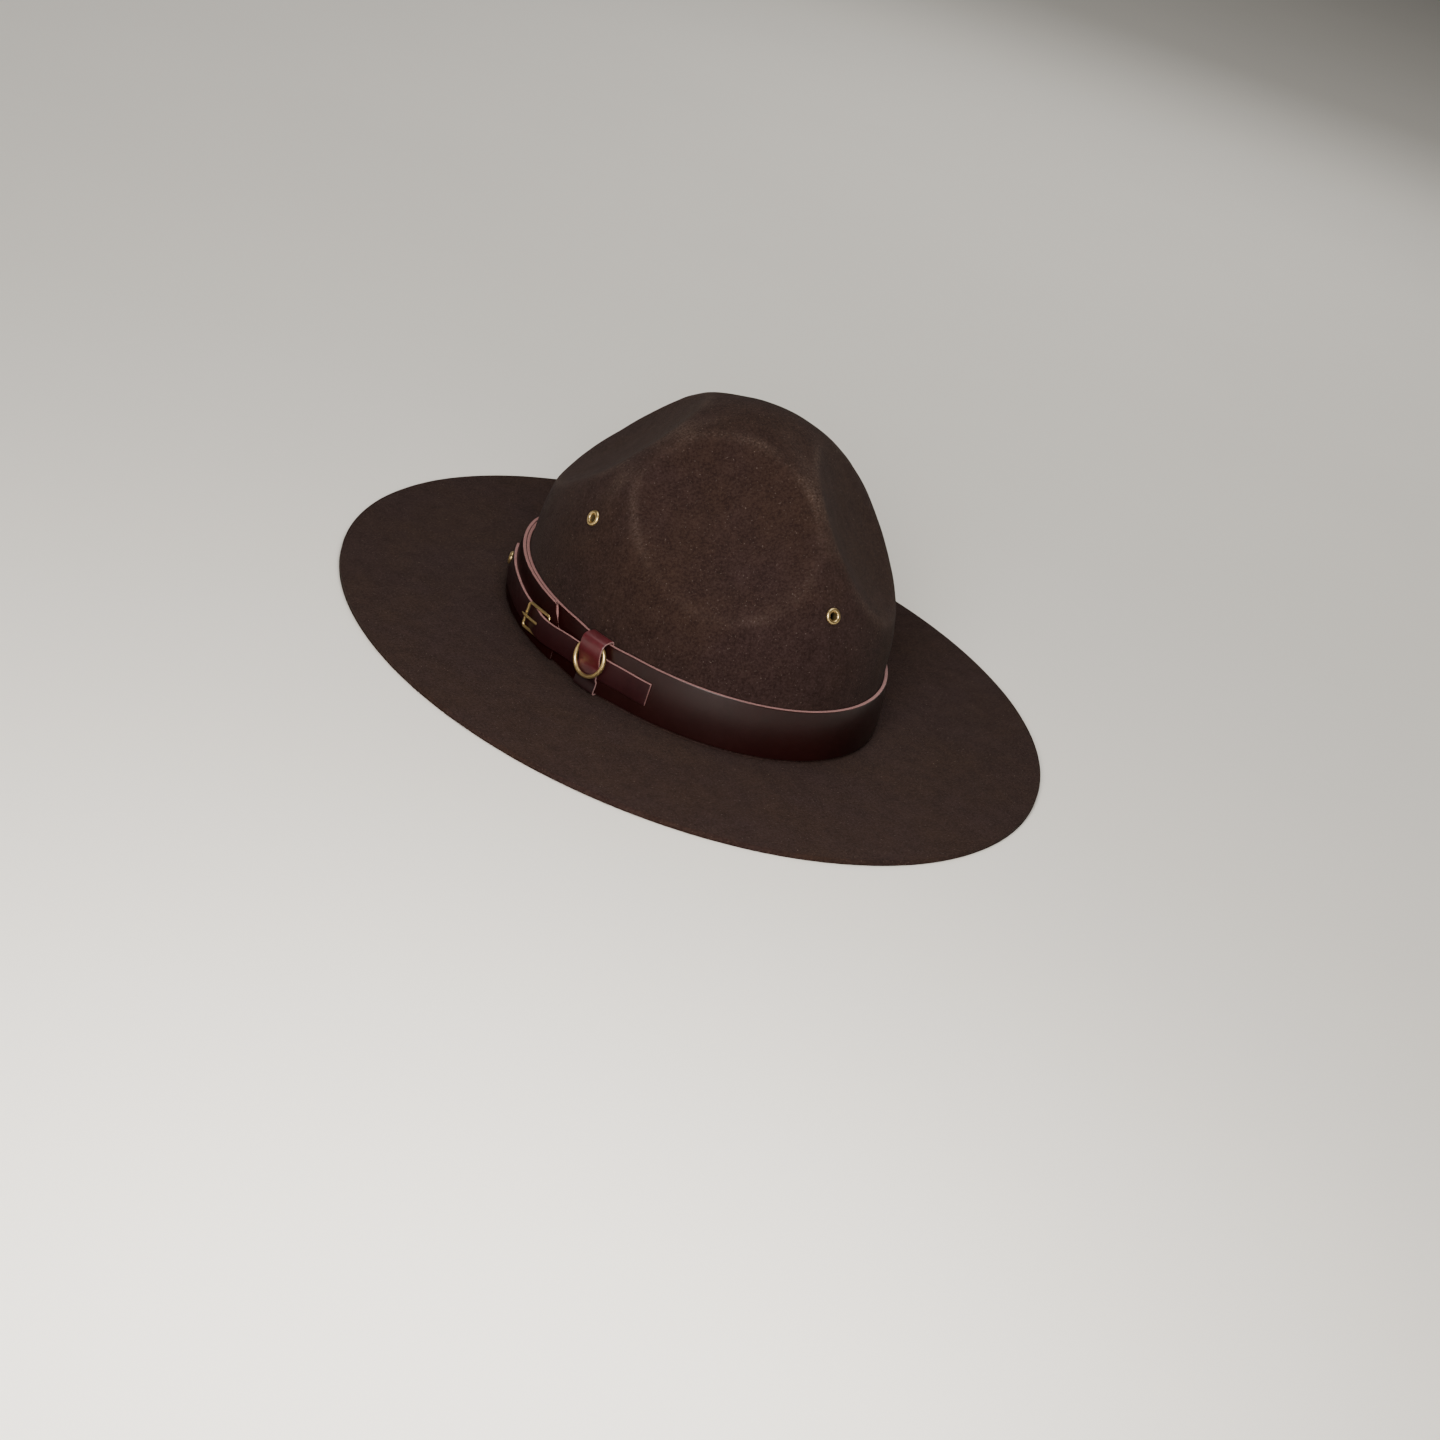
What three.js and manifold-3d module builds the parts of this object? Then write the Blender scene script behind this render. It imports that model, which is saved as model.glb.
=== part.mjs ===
// A felt campaign hat with a buckled leather hat band, in millimetres, +Z up.
// The wearer faces -Y and has the left hand at +X. The brim lies on z = 0, and the crown stands over the origin.

import * as THREE from 'three';
import { mergeVertices } from 'three/addons/utils/BufferGeometryUtils.js';
import Module from 'manifold-3d';

const wasm = await Module();
wasm.setup();

// Felt body
const CROWN_WIDTH = 165.4;
const CROWN_LENGTH = 207.4;
const CROWN_HEIGHT = 133;
const BRIM_WIDTH = 85.3;
const FELT = 2.6;
const WALL_FLARE = 2.4;
const BRIM_BREAK = 1.2;
const BRIM_EDGE_ROUND = 0.5;

// Dents of the crown: each is the cap of the dome beyond a flat plane, pressed in through that plane
const DENT_TURN = 42.2;
const DENT_TILT = 42.4;
const DENT_DEPTH = 11.9;
const DENT_PRESS = 1.4;
const DENT_ROUNDING = 2;

// Leather and gaps
const GAP = 0.3;
const BAND_HEIGHT = 24.6;
const BAND_LEATHER = 1.7;
const STRAP_WIDTH = 10.5;
const STRAP_LEATHER = 1.4;
const KEEPER_WIDTH = 12.5;
const KEEPER_LEATHER = 1;
const CHAPE_WIDTH = 8.4;
const CHAPE_LEATHER = 1;
const CHAPE_LENGTH = 11;

// Brass
const BUCKLE_LENGTH = 17;
const BUCKLE_WIRE = 1.6;
const BUCKLE_CORNER = 1.6;
const TONGUE_THICKNESS = 1.4;
const RING_OUTER = 18;
const RING_WIRE = 2;
const RIVET_HEAD = 6.6;
const RIVET_SHANK = 2.4;
const RIVET_DOME = 1.3;
const EYELET_OUTER = 7.7;
const EYELET_HOLE = 4.1;
const EYELET_METAL = 0.5;
const EYELET_RIM = 0.9;
const EYELET_HEIGHT = 72.5;

// Places round the crown, in degrees from the wearer's left towards the back
const BAND_OUTER_END = 6.5;
const BAND_INNER_END = -13.5;
const BAND_EASE = 14;
const STRAP_FRONT = -42;
const STRAP_TIP = 38.5;
const RIVET_TURN = -37;
const BUCKLE_TURN = -2.8;
const KEEPER_TURN = 20.3;
const KEEPER_EASE = 8;

// How finely the round forms are divided: counts, and turns in degrees along the leather
const FELT_COLUMNS = 60;
const CROWN_ROWS = 17;
const FOLD_STEPS = 3;
const EDGE_STEPS = 2;
const BAND_STEP = 4;
const STRAP_STEP = 2;
const CORNER_STEPS = 3;
const WIRE_SIDES = 8;
const EYELET_SIDES = 14;
const RIVET_SIDES = 14;
const RING_STEPS = 28;
const NOTCH_STEPS = 12;
const CURVE_STEPS = 10;

// Small steps with which slopes are measured: millimetres or degrees on the wall, shares on the crown
const WALL_STEP = 0.5;
const CROWN_STEP = 0.004;

// Crown from the top of the band to the peak. height is a share of what is left of the crown above the
// band, side and end are shares of its half width and half length.
const CROWN_SECTIONS = [
  { height: 0.999, side: 0.033, end: 0.027 },
  { height: 0.98, side: 0.172, end: 0.146 },
  { height: 0.94, side: 0.33, end: 0.275 },
  { height: 0.89, side: 0.468, end: 0.415 },
  { height: 0.83, side: 0.582, end: 0.533 },
  { height: 0.76, side: 0.69, end: 0.635 },
  { height: 0.67, side: 0.8, end: 0.735 },
  { height: 0.565, side: 0.893, end: 0.82 },
  { height: 0.45, side: 0.96, end: 0.885 },
  { height: 0.335, side: 0.995, end: 0.935 },
  { height: 0.2, side: 1, end: 0.973 },
  { height: 0, side: 1, end: 1 },
];

// End of the outer band layer. height is a share of the band's height, setback one of its width too.
const BAND_END = [
  { height: 0, setback: 0 },
  { height: 0.6, setback: 0 },
  { height: 1, setback: 0.42 },
];

// Line of the strap. turn runs from its front end to its tip, height is a share of the band's height.
const STRAP_LINE = [
  { turn: STRAP_FRONT, height: 0.47 },
  { turn: -24, height: 0.46 },
  { turn: -10, height: 0.42 },
  { turn: 2, height: 0.42 },
  { turn: 12, height: 0.47 },
  { turn: 22, height: 0.5 },
  { turn: STRAP_TIP, height: 0.49 },
];

// Section of an eyelet's visible rim. out is a share of the way from its hole to its outer edge, rise is
// a share of the rim's height.
const EYELET_SECTION = [
  { out: 1, rise: 0 },
  { out: 0.9, rise: 0.6 },
  { out: 0.5, rise: 1 },
  { out: 0.12, rise: 0.7 },
  { out: 0, rise: 0 },
];

// Section of the rivet's dome. out is a share of its head's half width, rise one of the dome's height.
const RIVET_SECTION = [
  { out: 1, rise: 0 },
  { out: 0.94, rise: 0.4 },
  { out: 0.6, rise: 0.85 },
  { out: 0, rise: 1 },
];

// Length of the slot for the tongue, as a share of the buckle's
const SLOT_SHARE = 0.7;

// What follows from the sizes above
const HALF_WIDTH = CROWN_WIDTH / 2;
const HALF_LENGTH = CROWN_LENGTH / 2;
const BRIM_TOP = FELT;
const BAND_FOOT = BRIM_TOP + KEEPER_LEATHER + 2 * GAP;
const BAND_TOP = BAND_FOOT + BAND_HEIGHT;
const RADIAN = Math.PI / 180;

function smooth(share) {
  const held = THREE.MathUtils.clamp(share, 0, 1);
  return held * held * (3 - 2 * held);
}

// Reads a column of a table between its rows, eased from one row to the next
function readTable(rows, key, value, column) {
  const next = rows.findIndex((row) => row[key] >= value);
  if (next <= 0) {
    return next === 0 ? rows[0][column] : rows[rows.length - 1][column];
  }
  const from = rows[next - 1];
  const to = rows[next];
  const share = (value - from[key]) / (to[key] - from[key]);
  return THREE.MathUtils.lerp(from[column], to[column], smooth(share));
}

// A closed body through loops of equally many points, its ends joined to each other or closed
function loft(loops, joined) {
  const count = loops[0].length;
  const positions = loops.flat().flatMap((point) => [point.x, point.y, point.z]);
  const triangles = [];
  const spans = joined ? loops.length : loops.length - 1;
  for (let row = 0; row < spans; row += 1) {
    const here = row * count;
    const there = ((row + 1) % loops.length) * count;
    for (let column = 0; column < count; column += 1) {
      const beside = (column + 1) % count;
      triangles.push(here + column, there + column, there + beside);
      triangles.push(here + column, there + beside, here + beside);
    }
  }
  const close = (loop, start, turned) => {
    const centre = new THREE.Vector3();
    loop.forEach((point) => centre.addScaledVector(point, 1 / count));
    const middle = positions.length / 3;
    positions.push(centre.x, centre.y, centre.z);
    for (let column = 0; column < count; column += 1) {
      const beside = (column + 1) % count;
      const pair = turned ? [start + beside, start + column] : [start + column, start + beside];
      triangles.push(middle, ...pair);
    }
  };
  if (!joined) {
    close(loops[0], 0, false);
    close(loops[loops.length - 1], (loops.length - 1) * count, true);
  }
  const geometry = new THREE.BufferGeometry();
  geometry.setAttribute('position', new THREE.Float32BufferAttribute(positions, 3));
  geometry.setIndex(triangles);
  return geometry;
}

function toSolid(geometry) {
  const bare = geometry.clone();
  bare.deleteAttribute('normal');
  bare.deleteAttribute('uv');
  const merged = mergeVertices(bare, 1e-4);
  return new wasm.Manifold(new wasm.Mesh({
    numProp: 3,
    vertProperties: new Float32Array(merged.attributes.position.array),
    triVerts: new Uint32Array(merged.index.array),
  }));
}

function toGeometry(solid) {
  const mesh = solid.getMesh();
  const geometry = new THREE.BufferGeometry();
  geometry.setAttribute('position', new THREE.BufferAttribute(mesh.vertProperties, 3));
  geometry.setIndex(new THREE.BufferAttribute(mesh.triVerts, 1));
  return geometry;
}

function cut(geometry, tools) {
  return toGeometry(tools.reduce((solid, tool) => solid.subtract(toSolid(tool)), toSolid(geometry)));
}

// Outer felt face of the wall behind the band, moved out by a distance; turn is in degrees
function wallPoint(turn, height, out) {
  const share = THREE.MathUtils.clamp((BAND_TOP - height) / (BAND_TOP - BRIM_TOP), 0, 1);
  const reach = WALL_FLARE * share + out;
  return new THREE.Vector3(
    (HALF_WIDTH + reach) * Math.cos(turn * RADIAN),
    (HALF_LENGTH + reach) * Math.sin(turn * RADIAN),
    height,
  );
}

function degreesPerMillimetre(turn) {
  const ahead = wallPoint(turn + WALL_STEP, BAND_FOOT, 0);
  const behind = wallPoint(turn - WALL_STEP, BAND_FOOT, 0);
  return 2 * WALL_STEP / ahead.distanceTo(behind);
}

// Place on the wall for a hard piece: x runs towards the back, y up the wall and z out of it
function placeOnWall(turn, height, out) {
  const ahead = wallPoint(turn + WALL_STEP, height, out);
  const behind = wallPoint(turn - WALL_STEP, height, out);
  const above = wallPoint(turn, height + WALL_STEP, out);
  const below = wallPoint(turn, height - WALL_STEP, out);
  const along = ahead.sub(behind).normalize();
  const up = above.sub(below).normalize();
  const outwards = along.clone().cross(up);
  return new THREE.Matrix4().makeBasis(along, up, outwards).setPosition(wallPoint(turn, height, out));
}

// Bends a flat piece, x along the band, y its height and z its distance from the felt, round the wall
function wrapRoundWall(geometry, turn, liftAt) {
  const position = geometry.attributes.position;
  const rate = degreesPerMillimetre(turn);
  for (let index = 0; index < position.count; index += 1) {
    const there = turn + position.getX(index) * rate;
    const bent = wallPoint(there, position.getY(index), position.getZ(index) + liftAt(there));
    position.setXYZ(index, bent.x, bent.y, bent.z);
  }
  return geometry;
}

// Crown
const crownLine = new THREE.CatmullRomCurve3(
  CROWN_SECTIONS.map((row) => new THREE.Vector3(
    row.side * HALF_WIDTH,
    row.end * HALF_LENGTH,
    BAND_TOP + row.height * (CROWN_HEIGHT - BAND_TOP),
  )),
  false,
  'centripetal',
);

// Directions in which the four dents are pressed, one for each corner of the crown
const dentDirections = [[1, 1], [-1, 1], [-1, -1], [1, -1]].map(([side, end]) => new THREE.Vector3(
  side * Math.cos(DENT_TURN * RADIAN) * Math.cos(DENT_TILT * RADIAN),
  end * Math.sin(DENT_TURN * RADIAN) * Math.cos(DENT_TILT * RADIAN),
  Math.sin(DENT_TILT * RADIAN),
));

// The plane of a dent cuts the dome this far below the point that stands out farthest in its direction
const domeReach = Math.max(...crownLine.getPoints(CROWN_SECTIONS.length * CURVE_STEPS).map((section) => (
  Math.hypot(section.x * dentDirections[0].x, section.y * dentDirections[0].y) + section.z * dentDirections[0].z
)));
const dentReach = domeReach - DENT_DEPTH;

function crownPoint(share, angle) {
  const section = crownLine.getPoint(share);
  const dome = new THREE.Vector3(section.x * Math.cos(angle), section.y * Math.sin(angle), section.z);
  const point = dome.clone();
  dentDirections.forEach((direction) => {
    const beyond = dome.dot(direction) - dentReach;
    const pressed = (beyond + Math.hypot(beyond, DENT_ROUNDING)) / 2;
    point.addScaledVector(direction, -DENT_PRESS * pressed);
  });
  return point;
}

function crownNormal(share, angle) {
  const low = Math.max(share - CROWN_STEP, 0);
  const high = Math.min(share + CROWN_STEP, 1);
  const down = crownPoint(high, angle).sub(crownPoint(low, angle));
  const round = crownPoint(share, angle + CROWN_STEP).sub(crownPoint(share, angle - CROWN_STEP));
  return down.cross(round).normalize();
}

function loopOfColumns(pointAt) {
  return Array.from({ length: FELT_COLUMNS }, (_, column) => pointAt(column * 2 * Math.PI / FELT_COLUMNS));
}

// One loop round the hat at a height, outside or inside the crown's foot by a distance
function flatLoop(out, height) {
  return loopOfColumns((angle) => new THREE.Vector3(
    (HALF_WIDTH + WALL_FLARE + out) * Math.cos(angle),
    (HALF_LENGTH + WALL_FLARE + out) * Math.sin(angle),
    height,
  ));
}

function arcLoops(centreOut, centreHeight, radius, fromDegrees, toDegrees, steps) {
  return Array.from({ length: steps + 1 }, (_, step) => {
    const angle = THREE.MathUtils.lerp(fromDegrees, toDegrees, step / steps) * RADIAN;
    return flatLoop(centreOut + radius * Math.cos(angle), centreHeight + radius * Math.sin(angle));
  });
}

function feltBody() {
  const shares = Array.from({ length: CROWN_ROWS + 1 }, (_, row) => row / CROWN_ROWS);
  const outside = shares.map((share) => loopOfColumns((angle) => crownPoint(share, angle)));
  const inside = shares.map((share) => loopOfColumns((angle) => (
    crownPoint(share, angle).addScaledVector(crownNormal(share, angle), -FELT)
  )));
  const foldRadius = BRIM_BREAK + FELT;
  const foldTop = BRIM_TOP + BRIM_BREAK;
  const edge = BRIM_WIDTH - BRIM_EDGE_ROUND;
  return loft([
    ...outside,
    ...arcLoops(BRIM_BREAK, foldTop, BRIM_BREAK, 180, 270, FOLD_STEPS),
    flatLoop(BRIM_WIDTH / 3, BRIM_TOP),
    flatLoop(BRIM_WIDTH * 2 / 3, BRIM_TOP),
    ...arcLoops(edge, BRIM_TOP - BRIM_EDGE_ROUND, BRIM_EDGE_ROUND, 90, 0, EDGE_STEPS),
    ...arcLoops(edge, BRIM_EDGE_ROUND, BRIM_EDGE_ROUND, 0, -90, EDGE_STEPS),
    flatLoop(BRIM_WIDTH / 2, 0),
    ...arcLoops(BRIM_BREAK, foldTop, foldRadius, 270, 180, FOLD_STEPS + 1),
    ...inside.reverse(),
  ], false);
}

// Share of the crown line at which it stands at a height
function shareAtHeight(height) {
  let low = 0;
  let high = 1;
  while (high - low > Number.EPSILON * 4) {
    const middle = (low + high) / 2;
    if (crownLine.getPoint(middle).z > height) {
      low = middle;
    } else {
      high = middle;
    }
  }
  return (low + high) / 2;
}

// Place on the crown's felt with y pointing out of it
function placeOnCrown(turn) {
  const share = shareAtHeight(EYELET_HEIGHT);
  const normal = crownNormal(share, turn * RADIAN);
  const level = new THREE.Vector3(-Math.sin(turn * RADIAN), Math.cos(turn * RADIAN), 0);
  const third = level.clone().cross(normal);
  return new THREE.Matrix4().makeBasis(level, normal, third).setPosition(crownPoint(share, turn * RADIAN));
}

// Heights of the felt round an eyelet's rim, measured from its place along the way out of the crown
function feltRound(turn) {
  const share = shareAtHeight(EYELET_HEIGHT);
  const angle = turn * RADIAN;
  const middle = crownPoint(share, angle);
  const normal = crownNormal(share, angle);
  const downSize = middle.distanceTo(crownPoint(share + CROWN_STEP, angle)) / CROWN_STEP;
  const roundSize = middle.distanceTo(crownPoint(share, angle + CROWN_STEP)) / CROWN_STEP;
  return Array.from({ length: EYELET_SIDES }, (_, side) => {
    const way = side * 2 * Math.PI / EYELET_SIDES;
    const down = EYELET_OUTER / 2 * Math.cos(way) / downSize;
    const round = EYELET_OUTER / 2 * Math.sin(way) / roundSize;
    return crownPoint(share + down, angle + round).sub(middle).dot(normal);
  });
}

const eyeletBarrel = EYELET_HOLE / 2 + EYELET_METAL;

function eyelet(turn) {
  const hole = EYELET_HOLE / 2;
  const rim = EYELET_OUTER / 2;
  const felt = feltRound(turn);
  const front = Math.max(0, ...felt) + GAP;
  const back = Math.min(0, ...felt) - FELT - 2 * GAP;
  const outline = [
    [hole, back - EYELET_METAL],
    [rim - EYELET_METAL / 2, back - EYELET_METAL],
    [rim - EYELET_METAL / 2, back],
    [eyeletBarrel, back],
    [eyeletBarrel, front],
    ...EYELET_SECTION.map((row) => [hole + row.out * (rim - hole), front + row.rise * EYELET_RIM]),
    [hole, back - EYELET_METAL],
  ].map(([radius, height]) => new THREE.Vector2(radius, height));
  return new THREE.LatheGeometry(outline, EYELET_SIDES);
}

function eyeletCutter() {
  return new THREE.CylinderGeometry(eyeletBarrel + GAP, eyeletBarrel + GAP, 6 * FELT, EYELET_SIDES);
}

// Distances from the felt of the leather layers, bottom to top
const singleLayer = GAP + BAND_LEATHER;
const doubleLayer = singleLayer + GAP + BAND_LEATHER;
const keeperRoom = KEEPER_LEATHER + GAP;

// Extra room that the band leaves at the keeper for the ply behind it
function keeperLift(turn) {
  const halfKeeper = (KEEPER_WIDTH / 2) * degreesPerMillimetre(KEEPER_TURN);
  return keeperRoom * (1 - smooth((Math.abs(turn - KEEPER_TURN) - halfKeeper) / KEEPER_EASE));
}

// Inner face of the outer layer: over the inner layer's end, then eased down onto the felt
function outerLayerFace(turn) {
  const onFelt = smooth((BAND_INNER_END - turn) / BAND_EASE);
  return THREE.MathUtils.lerp(singleLayer + GAP, GAP, onFelt);
}

// A ribbon of leather with the same face at every height, from one turn to another
function ribbon(turns, rows, faceAt, leather, turnAt) {
  return loft(turns.map((turn, index) => {
    const inner = rows.map((row) => wallPoint(turnAt(turn, index, row), row.z(turn), faceAt(turn)));
    const outer = rows.map((row) => wallPoint(turnAt(turn, index, row), row.z(turn), faceAt(turn) + leather));
    return [...inner, ...outer.reverse()];
  }), false);
}

function stepsBetween(from, to, step) {
  const count = Math.ceil(Math.abs(to - from) / step);
  return Array.from({ length: count + 1 }, (_, index) => THREE.MathUtils.lerp(from, to, index / count));
}

// The band starts at its outer end, runs round the front and returns under that end
function hatBand() {
  const rate = degreesPerMillimetre(BAND_OUTER_END);
  const lastTurn = BAND_INNER_END - 360;
  const steps = [
    ...stepsBetween(BAND_OUTER_END, BAND_INNER_END - BAND_EASE, BAND_STEP / 2),
    ...stepsBetween(BAND_INNER_END - BAND_EASE, KEEPER_TURN - 360 + 2 * KEEPER_EASE, BAND_STEP).slice(1),
    ...stepsBetween(KEEPER_TURN - 360 + 2 * KEEPER_EASE, lastTurn, BAND_STEP / 2).slice(1),
  ];
  const faceAt = (turn) => {
    const onReturn = turn < BAND_OUTER_END - 180;
    return onReturn ? GAP + keeperLift(turn + 360) : outerLayerFace(turn);
  };
  const rows = BAND_END.map((row) => ({ ...row, z: () => BAND_FOOT + row.height * BAND_HEIGHT }));
  const turnAt = (turn, index, row) => {
    const fade = Math.max(0, 1 - index / 5);
    return turn - row.setback * BAND_HEIGHT * rate * fade;
  };
  return ribbon(steps, rows, faceAt, BAND_LEATHER, turnAt);
}

// Buckle: the strap comes from the front, passes under the end bar and over the heel bar
const heelTurn = BUCKLE_TURN + (BUCKLE_LENGTH / 2) * degreesPerMillimetre(BUCKLE_TURN);
const endTurn = BUCKLE_TURN - (BUCKLE_LENGTH / 2) * degreesPerMillimetre(BUCKLE_TURN);
const wireRadius = BUCKLE_WIRE / 2;
const chapeEye = wireRadius + GAP;
const chapeOuter = chapeEye + CHAPE_LEATHER;
const heelOut = singleLayer + GAP + chapeOuter;
const overHeel = heelOut + chapeOuter + 2 * GAP;
const endOut = doubleLayer + 3 * GAP + STRAP_LEATHER + wireRadius;
const buckleHeight = strapHeight(BUCKLE_TURN);

function strapHeight(turn) {
  return BAND_FOOT + BAND_HEIGHT * readTable(STRAP_LINE, 'turn', turn, 'height');
}

// Inner face of the strap: on the outer layer, over the heel bar, then down to the keeper and the tip
function strapFace(turn) {
  const rate = degreesPerMillimetre(BUCKLE_TURN);
  const clearOfBar = (BUCKLE_WIRE + GAP) * rate;
  const front = outerLayerFace(turn) + BAND_LEATHER + GAP;
  const rise = smooth((turn - endTurn - clearOfBar) / (heelTurn - endTurn - 2 * clearOfBar));
  const fallStart = heelTurn + chapeOuter * rate;
  const fallEnd = KEEPER_TURN - (KEEPER_WIDTH / 2) * rate;
  const fall = smooth((turn - fallStart) / (fallEnd - fallStart));
  const rear = singleLayer + GAP + (turn < KEEPER_TURN ? keeperRoom : keeperLift(turn));
  return THREE.MathUtils.lerp(THREE.MathUtils.lerp(front, overHeel, rise), rear, fall);
}

function buckleStrap() {
  const rows = [
    { z: (turn) => strapHeight(turn) - STRAP_WIDTH / 2 },
    { z: (turn) => strapHeight(turn) + STRAP_WIDTH / 2 },
  ];
  const turns = stepsBetween(STRAP_FRONT, STRAP_TIP, STRAP_STEP).reverse();
  return ribbon(turns, rows, strapFace, STRAP_LEATHER, (turn) => turn);
}

// A wire bent into a closed flat outline in the xy plane
function wireLoop(outline, radius, sides) {
  const count = outline.length;
  return loft(outline.map((point, index) => {
    const before = outline[(index + count - 1) % count];
    const after = outline[(index + 1) % count];
    const forward = new THREE.Vector2().subVectors(after, before).normalize();
    return Array.from({ length: sides }, (_, side) => {
      const angle = side * 2 * Math.PI / sides;
      const across = radius * Math.cos(angle);
      return new THREE.Vector3(
        point.x + forward.y * across,
        point.y - forward.x * across,
        radius * Math.sin(angle),
      );
    });
  }), true);
}

function roundedRectangle(halfLength, halfHeight, corner, stepsPerCorner) {
  const corners = [[1, 1, 0], [-1, 1, 90], [-1, -1, 180], [1, -1, 270]];
  return corners.flatMap(([sideX, sideY, start]) => (
    Array.from({ length: stepsPerCorner + 1 }, (_, step) => {
      const angle = (start + 90 * step / stepsPerCorner) * RADIAN;
      return new THREE.Vector2(
        sideX * (halfLength - corner) + corner * Math.cos(angle),
        sideY * (halfHeight - corner) + corner * Math.sin(angle),
      );
    })
  ));
}

// Middles of the two bars, and how far apart they are
const heelPoint = wallPoint(heelTurn, buckleHeight, heelOut);
const endPoint = wallPoint(endTurn, buckleHeight, endOut);
const halfSpan = heelPoint.distanceTo(endPoint) / 2;

// The frame runs from the end bar to the heel bar, which lies lower
function buckleMatrix() {
  const along = heelPoint.clone().sub(endPoint).normalize();
  const wallUp = new THREE.Vector3().setFromMatrixColumn(placeOnWall(heelTurn, buckleHeight, heelOut), 1);
  const outwards = along.clone().cross(wallUp).normalize();
  const up = outwards.clone().cross(along);
  const middle = heelPoint.clone().lerp(endPoint, 0.5);
  return new THREE.Matrix4().makeBasis(along, up, outwards).setPosition(middle);
}

const buckleOpening = STRAP_WIDTH + 3 * GAP;

function buckleFrame() {
  const halfHeight = buckleOpening / 2 + wireRadius;
  const outline = roundedRectangle(halfSpan, halfHeight, BUCKLE_CORNER, CORNER_STEPS);
  return wireLoop(outline, wireRadius, WIRE_SIDES).applyMatrix4(buckleMatrix());
}

// The tongue: an eye round the heel bar and an arm whose tip lies on the end bar
function buckleTongue() {
  const eye = wireRadius + GAP;
  const outer = eye + TONGUE_THICKNESS / 2;
  const tip = -halfSpan - 2 * wireRadius;
  const bend = -halfSpan + wireRadius;
  const profile = new THREE.Shape();
  profile.absarc(halfSpan, 0, outer, -Math.PI, 0.75 * Math.PI, false);
  profile.lineTo(bend, eye + TONGUE_THICKNESS);
  profile.lineTo((bend + tip) / 2, eye + TONGUE_THICKNESS);
  profile.lineTo(tip, eye);
  profile.lineTo(bend, eye);
  const hole = new THREE.Path();
  hole.absarc(halfSpan, 0, eye, 0, 2 * Math.PI, true);
  profile.holes.push(hole);
  const flat = new THREE.ExtrudeGeometry(profile, {
    depth: TONGUE_THICKNESS,
    bevelEnabled: false,
    curveSegments: CURVE_STEPS,
  });
  flat.translate(0, 0, -TONGUE_THICKNESS / 2);
  return flat.rotateX(Math.PI / 2).applyMatrix4(buckleMatrix());
}

// Slot in the strap through which the tongue rises
function tongueSlot() {
  const slot = new THREE.BoxGeometry(SLOT_SHARE * BUCKLE_LENGTH, TONGUE_THICKNESS + 2 * GAP, 6 * STRAP_LEATHER);
  return slot.translate(2 * GAP, 0, 0).applyMatrix4(buckleMatrix());
}

// The chape: leather folded round the heel bar, its two plies lying on the inner layer towards the back
function buckleChape() {
  const tailTop = CHAPE_LEATHER * 2 - chapeOuter;
  const profile = new THREE.Shape();
  profile.absarc(0, 0, chapeOuter, 0.25 * Math.PI, 1.5 * Math.PI, false);
  profile.lineTo(CHAPE_LENGTH / 2, -chapeOuter);
  profile.lineTo(CHAPE_LENGTH, -chapeOuter);
  profile.lineTo(CHAPE_LENGTH, tailTop);
  profile.lineTo(CHAPE_LENGTH / 2, tailTop);
  profile.lineTo(chapeOuter * 1.5, tailTop);
  const hole = new THREE.Path();
  hole.absarc(0, 0, chapeEye, 0, 2 * Math.PI, true);
  profile.holes.push(hole);
  const flat = new THREE.ExtrudeGeometry(profile, {
    depth: CHAPE_WIDTH,
    bevelEnabled: false,
    curveSegments: CURVE_STEPS,
  });
  flat.translate(0, 0, -CHAPE_WIDTH / 2);
  flat.rotateX(Math.PI / 2);
  flat.translate(0, buckleHeight, heelOut);
  const slotWidth = TONGUE_THICKNESS + 3 * GAP;
  const slot = new THREE.BoxGeometry(4 * chapeOuter, slotWidth, 4 * chapeOuter);
  slot.translate(-chapeOuter * 0.5, buckleHeight, heelOut);
  return wrapRoundWall(cut(flat, [slot]), heelTurn, keeperLift);
}

// Room in the outer layer's end for the heel bar and the chape
function chapeNotch() {
  const length = 12 * chapeOuter;
  const depth = 6 * BAND_LEATHER;
  const height = buckleOpening + 2 * (BUCKLE_WIRE + 2 * GAP);
  const notch = new THREE.BoxGeometry(length, height, depth, NOTCH_STEPS, 1, 1);
  notch.translate(length / 2 - 3 * chapeOuter, buckleHeight, singleLayer + GAP / 2 + depth / 2);
  return wrapRoundWall(notch, heelTurn, () => 0);
}

// Levels at the keeper and its ring, out from the felt
const keeperBand = keeperRoom + singleLayer;
const keeperStrap = keeperBand + GAP + STRAP_LEATHER;
const ringHeight = BAND_FOOT + 0.6 * BAND_HEIGHT;
const ringRadius = (RING_OUTER - RING_WIRE) / 2;
const ringTopOut = keeperStrap + GAP + RING_WIRE / 2;
const ringFootOut = keeperStrap + 3 * GAP + KEEPER_LEATHER + RING_WIRE / 2;

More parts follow.
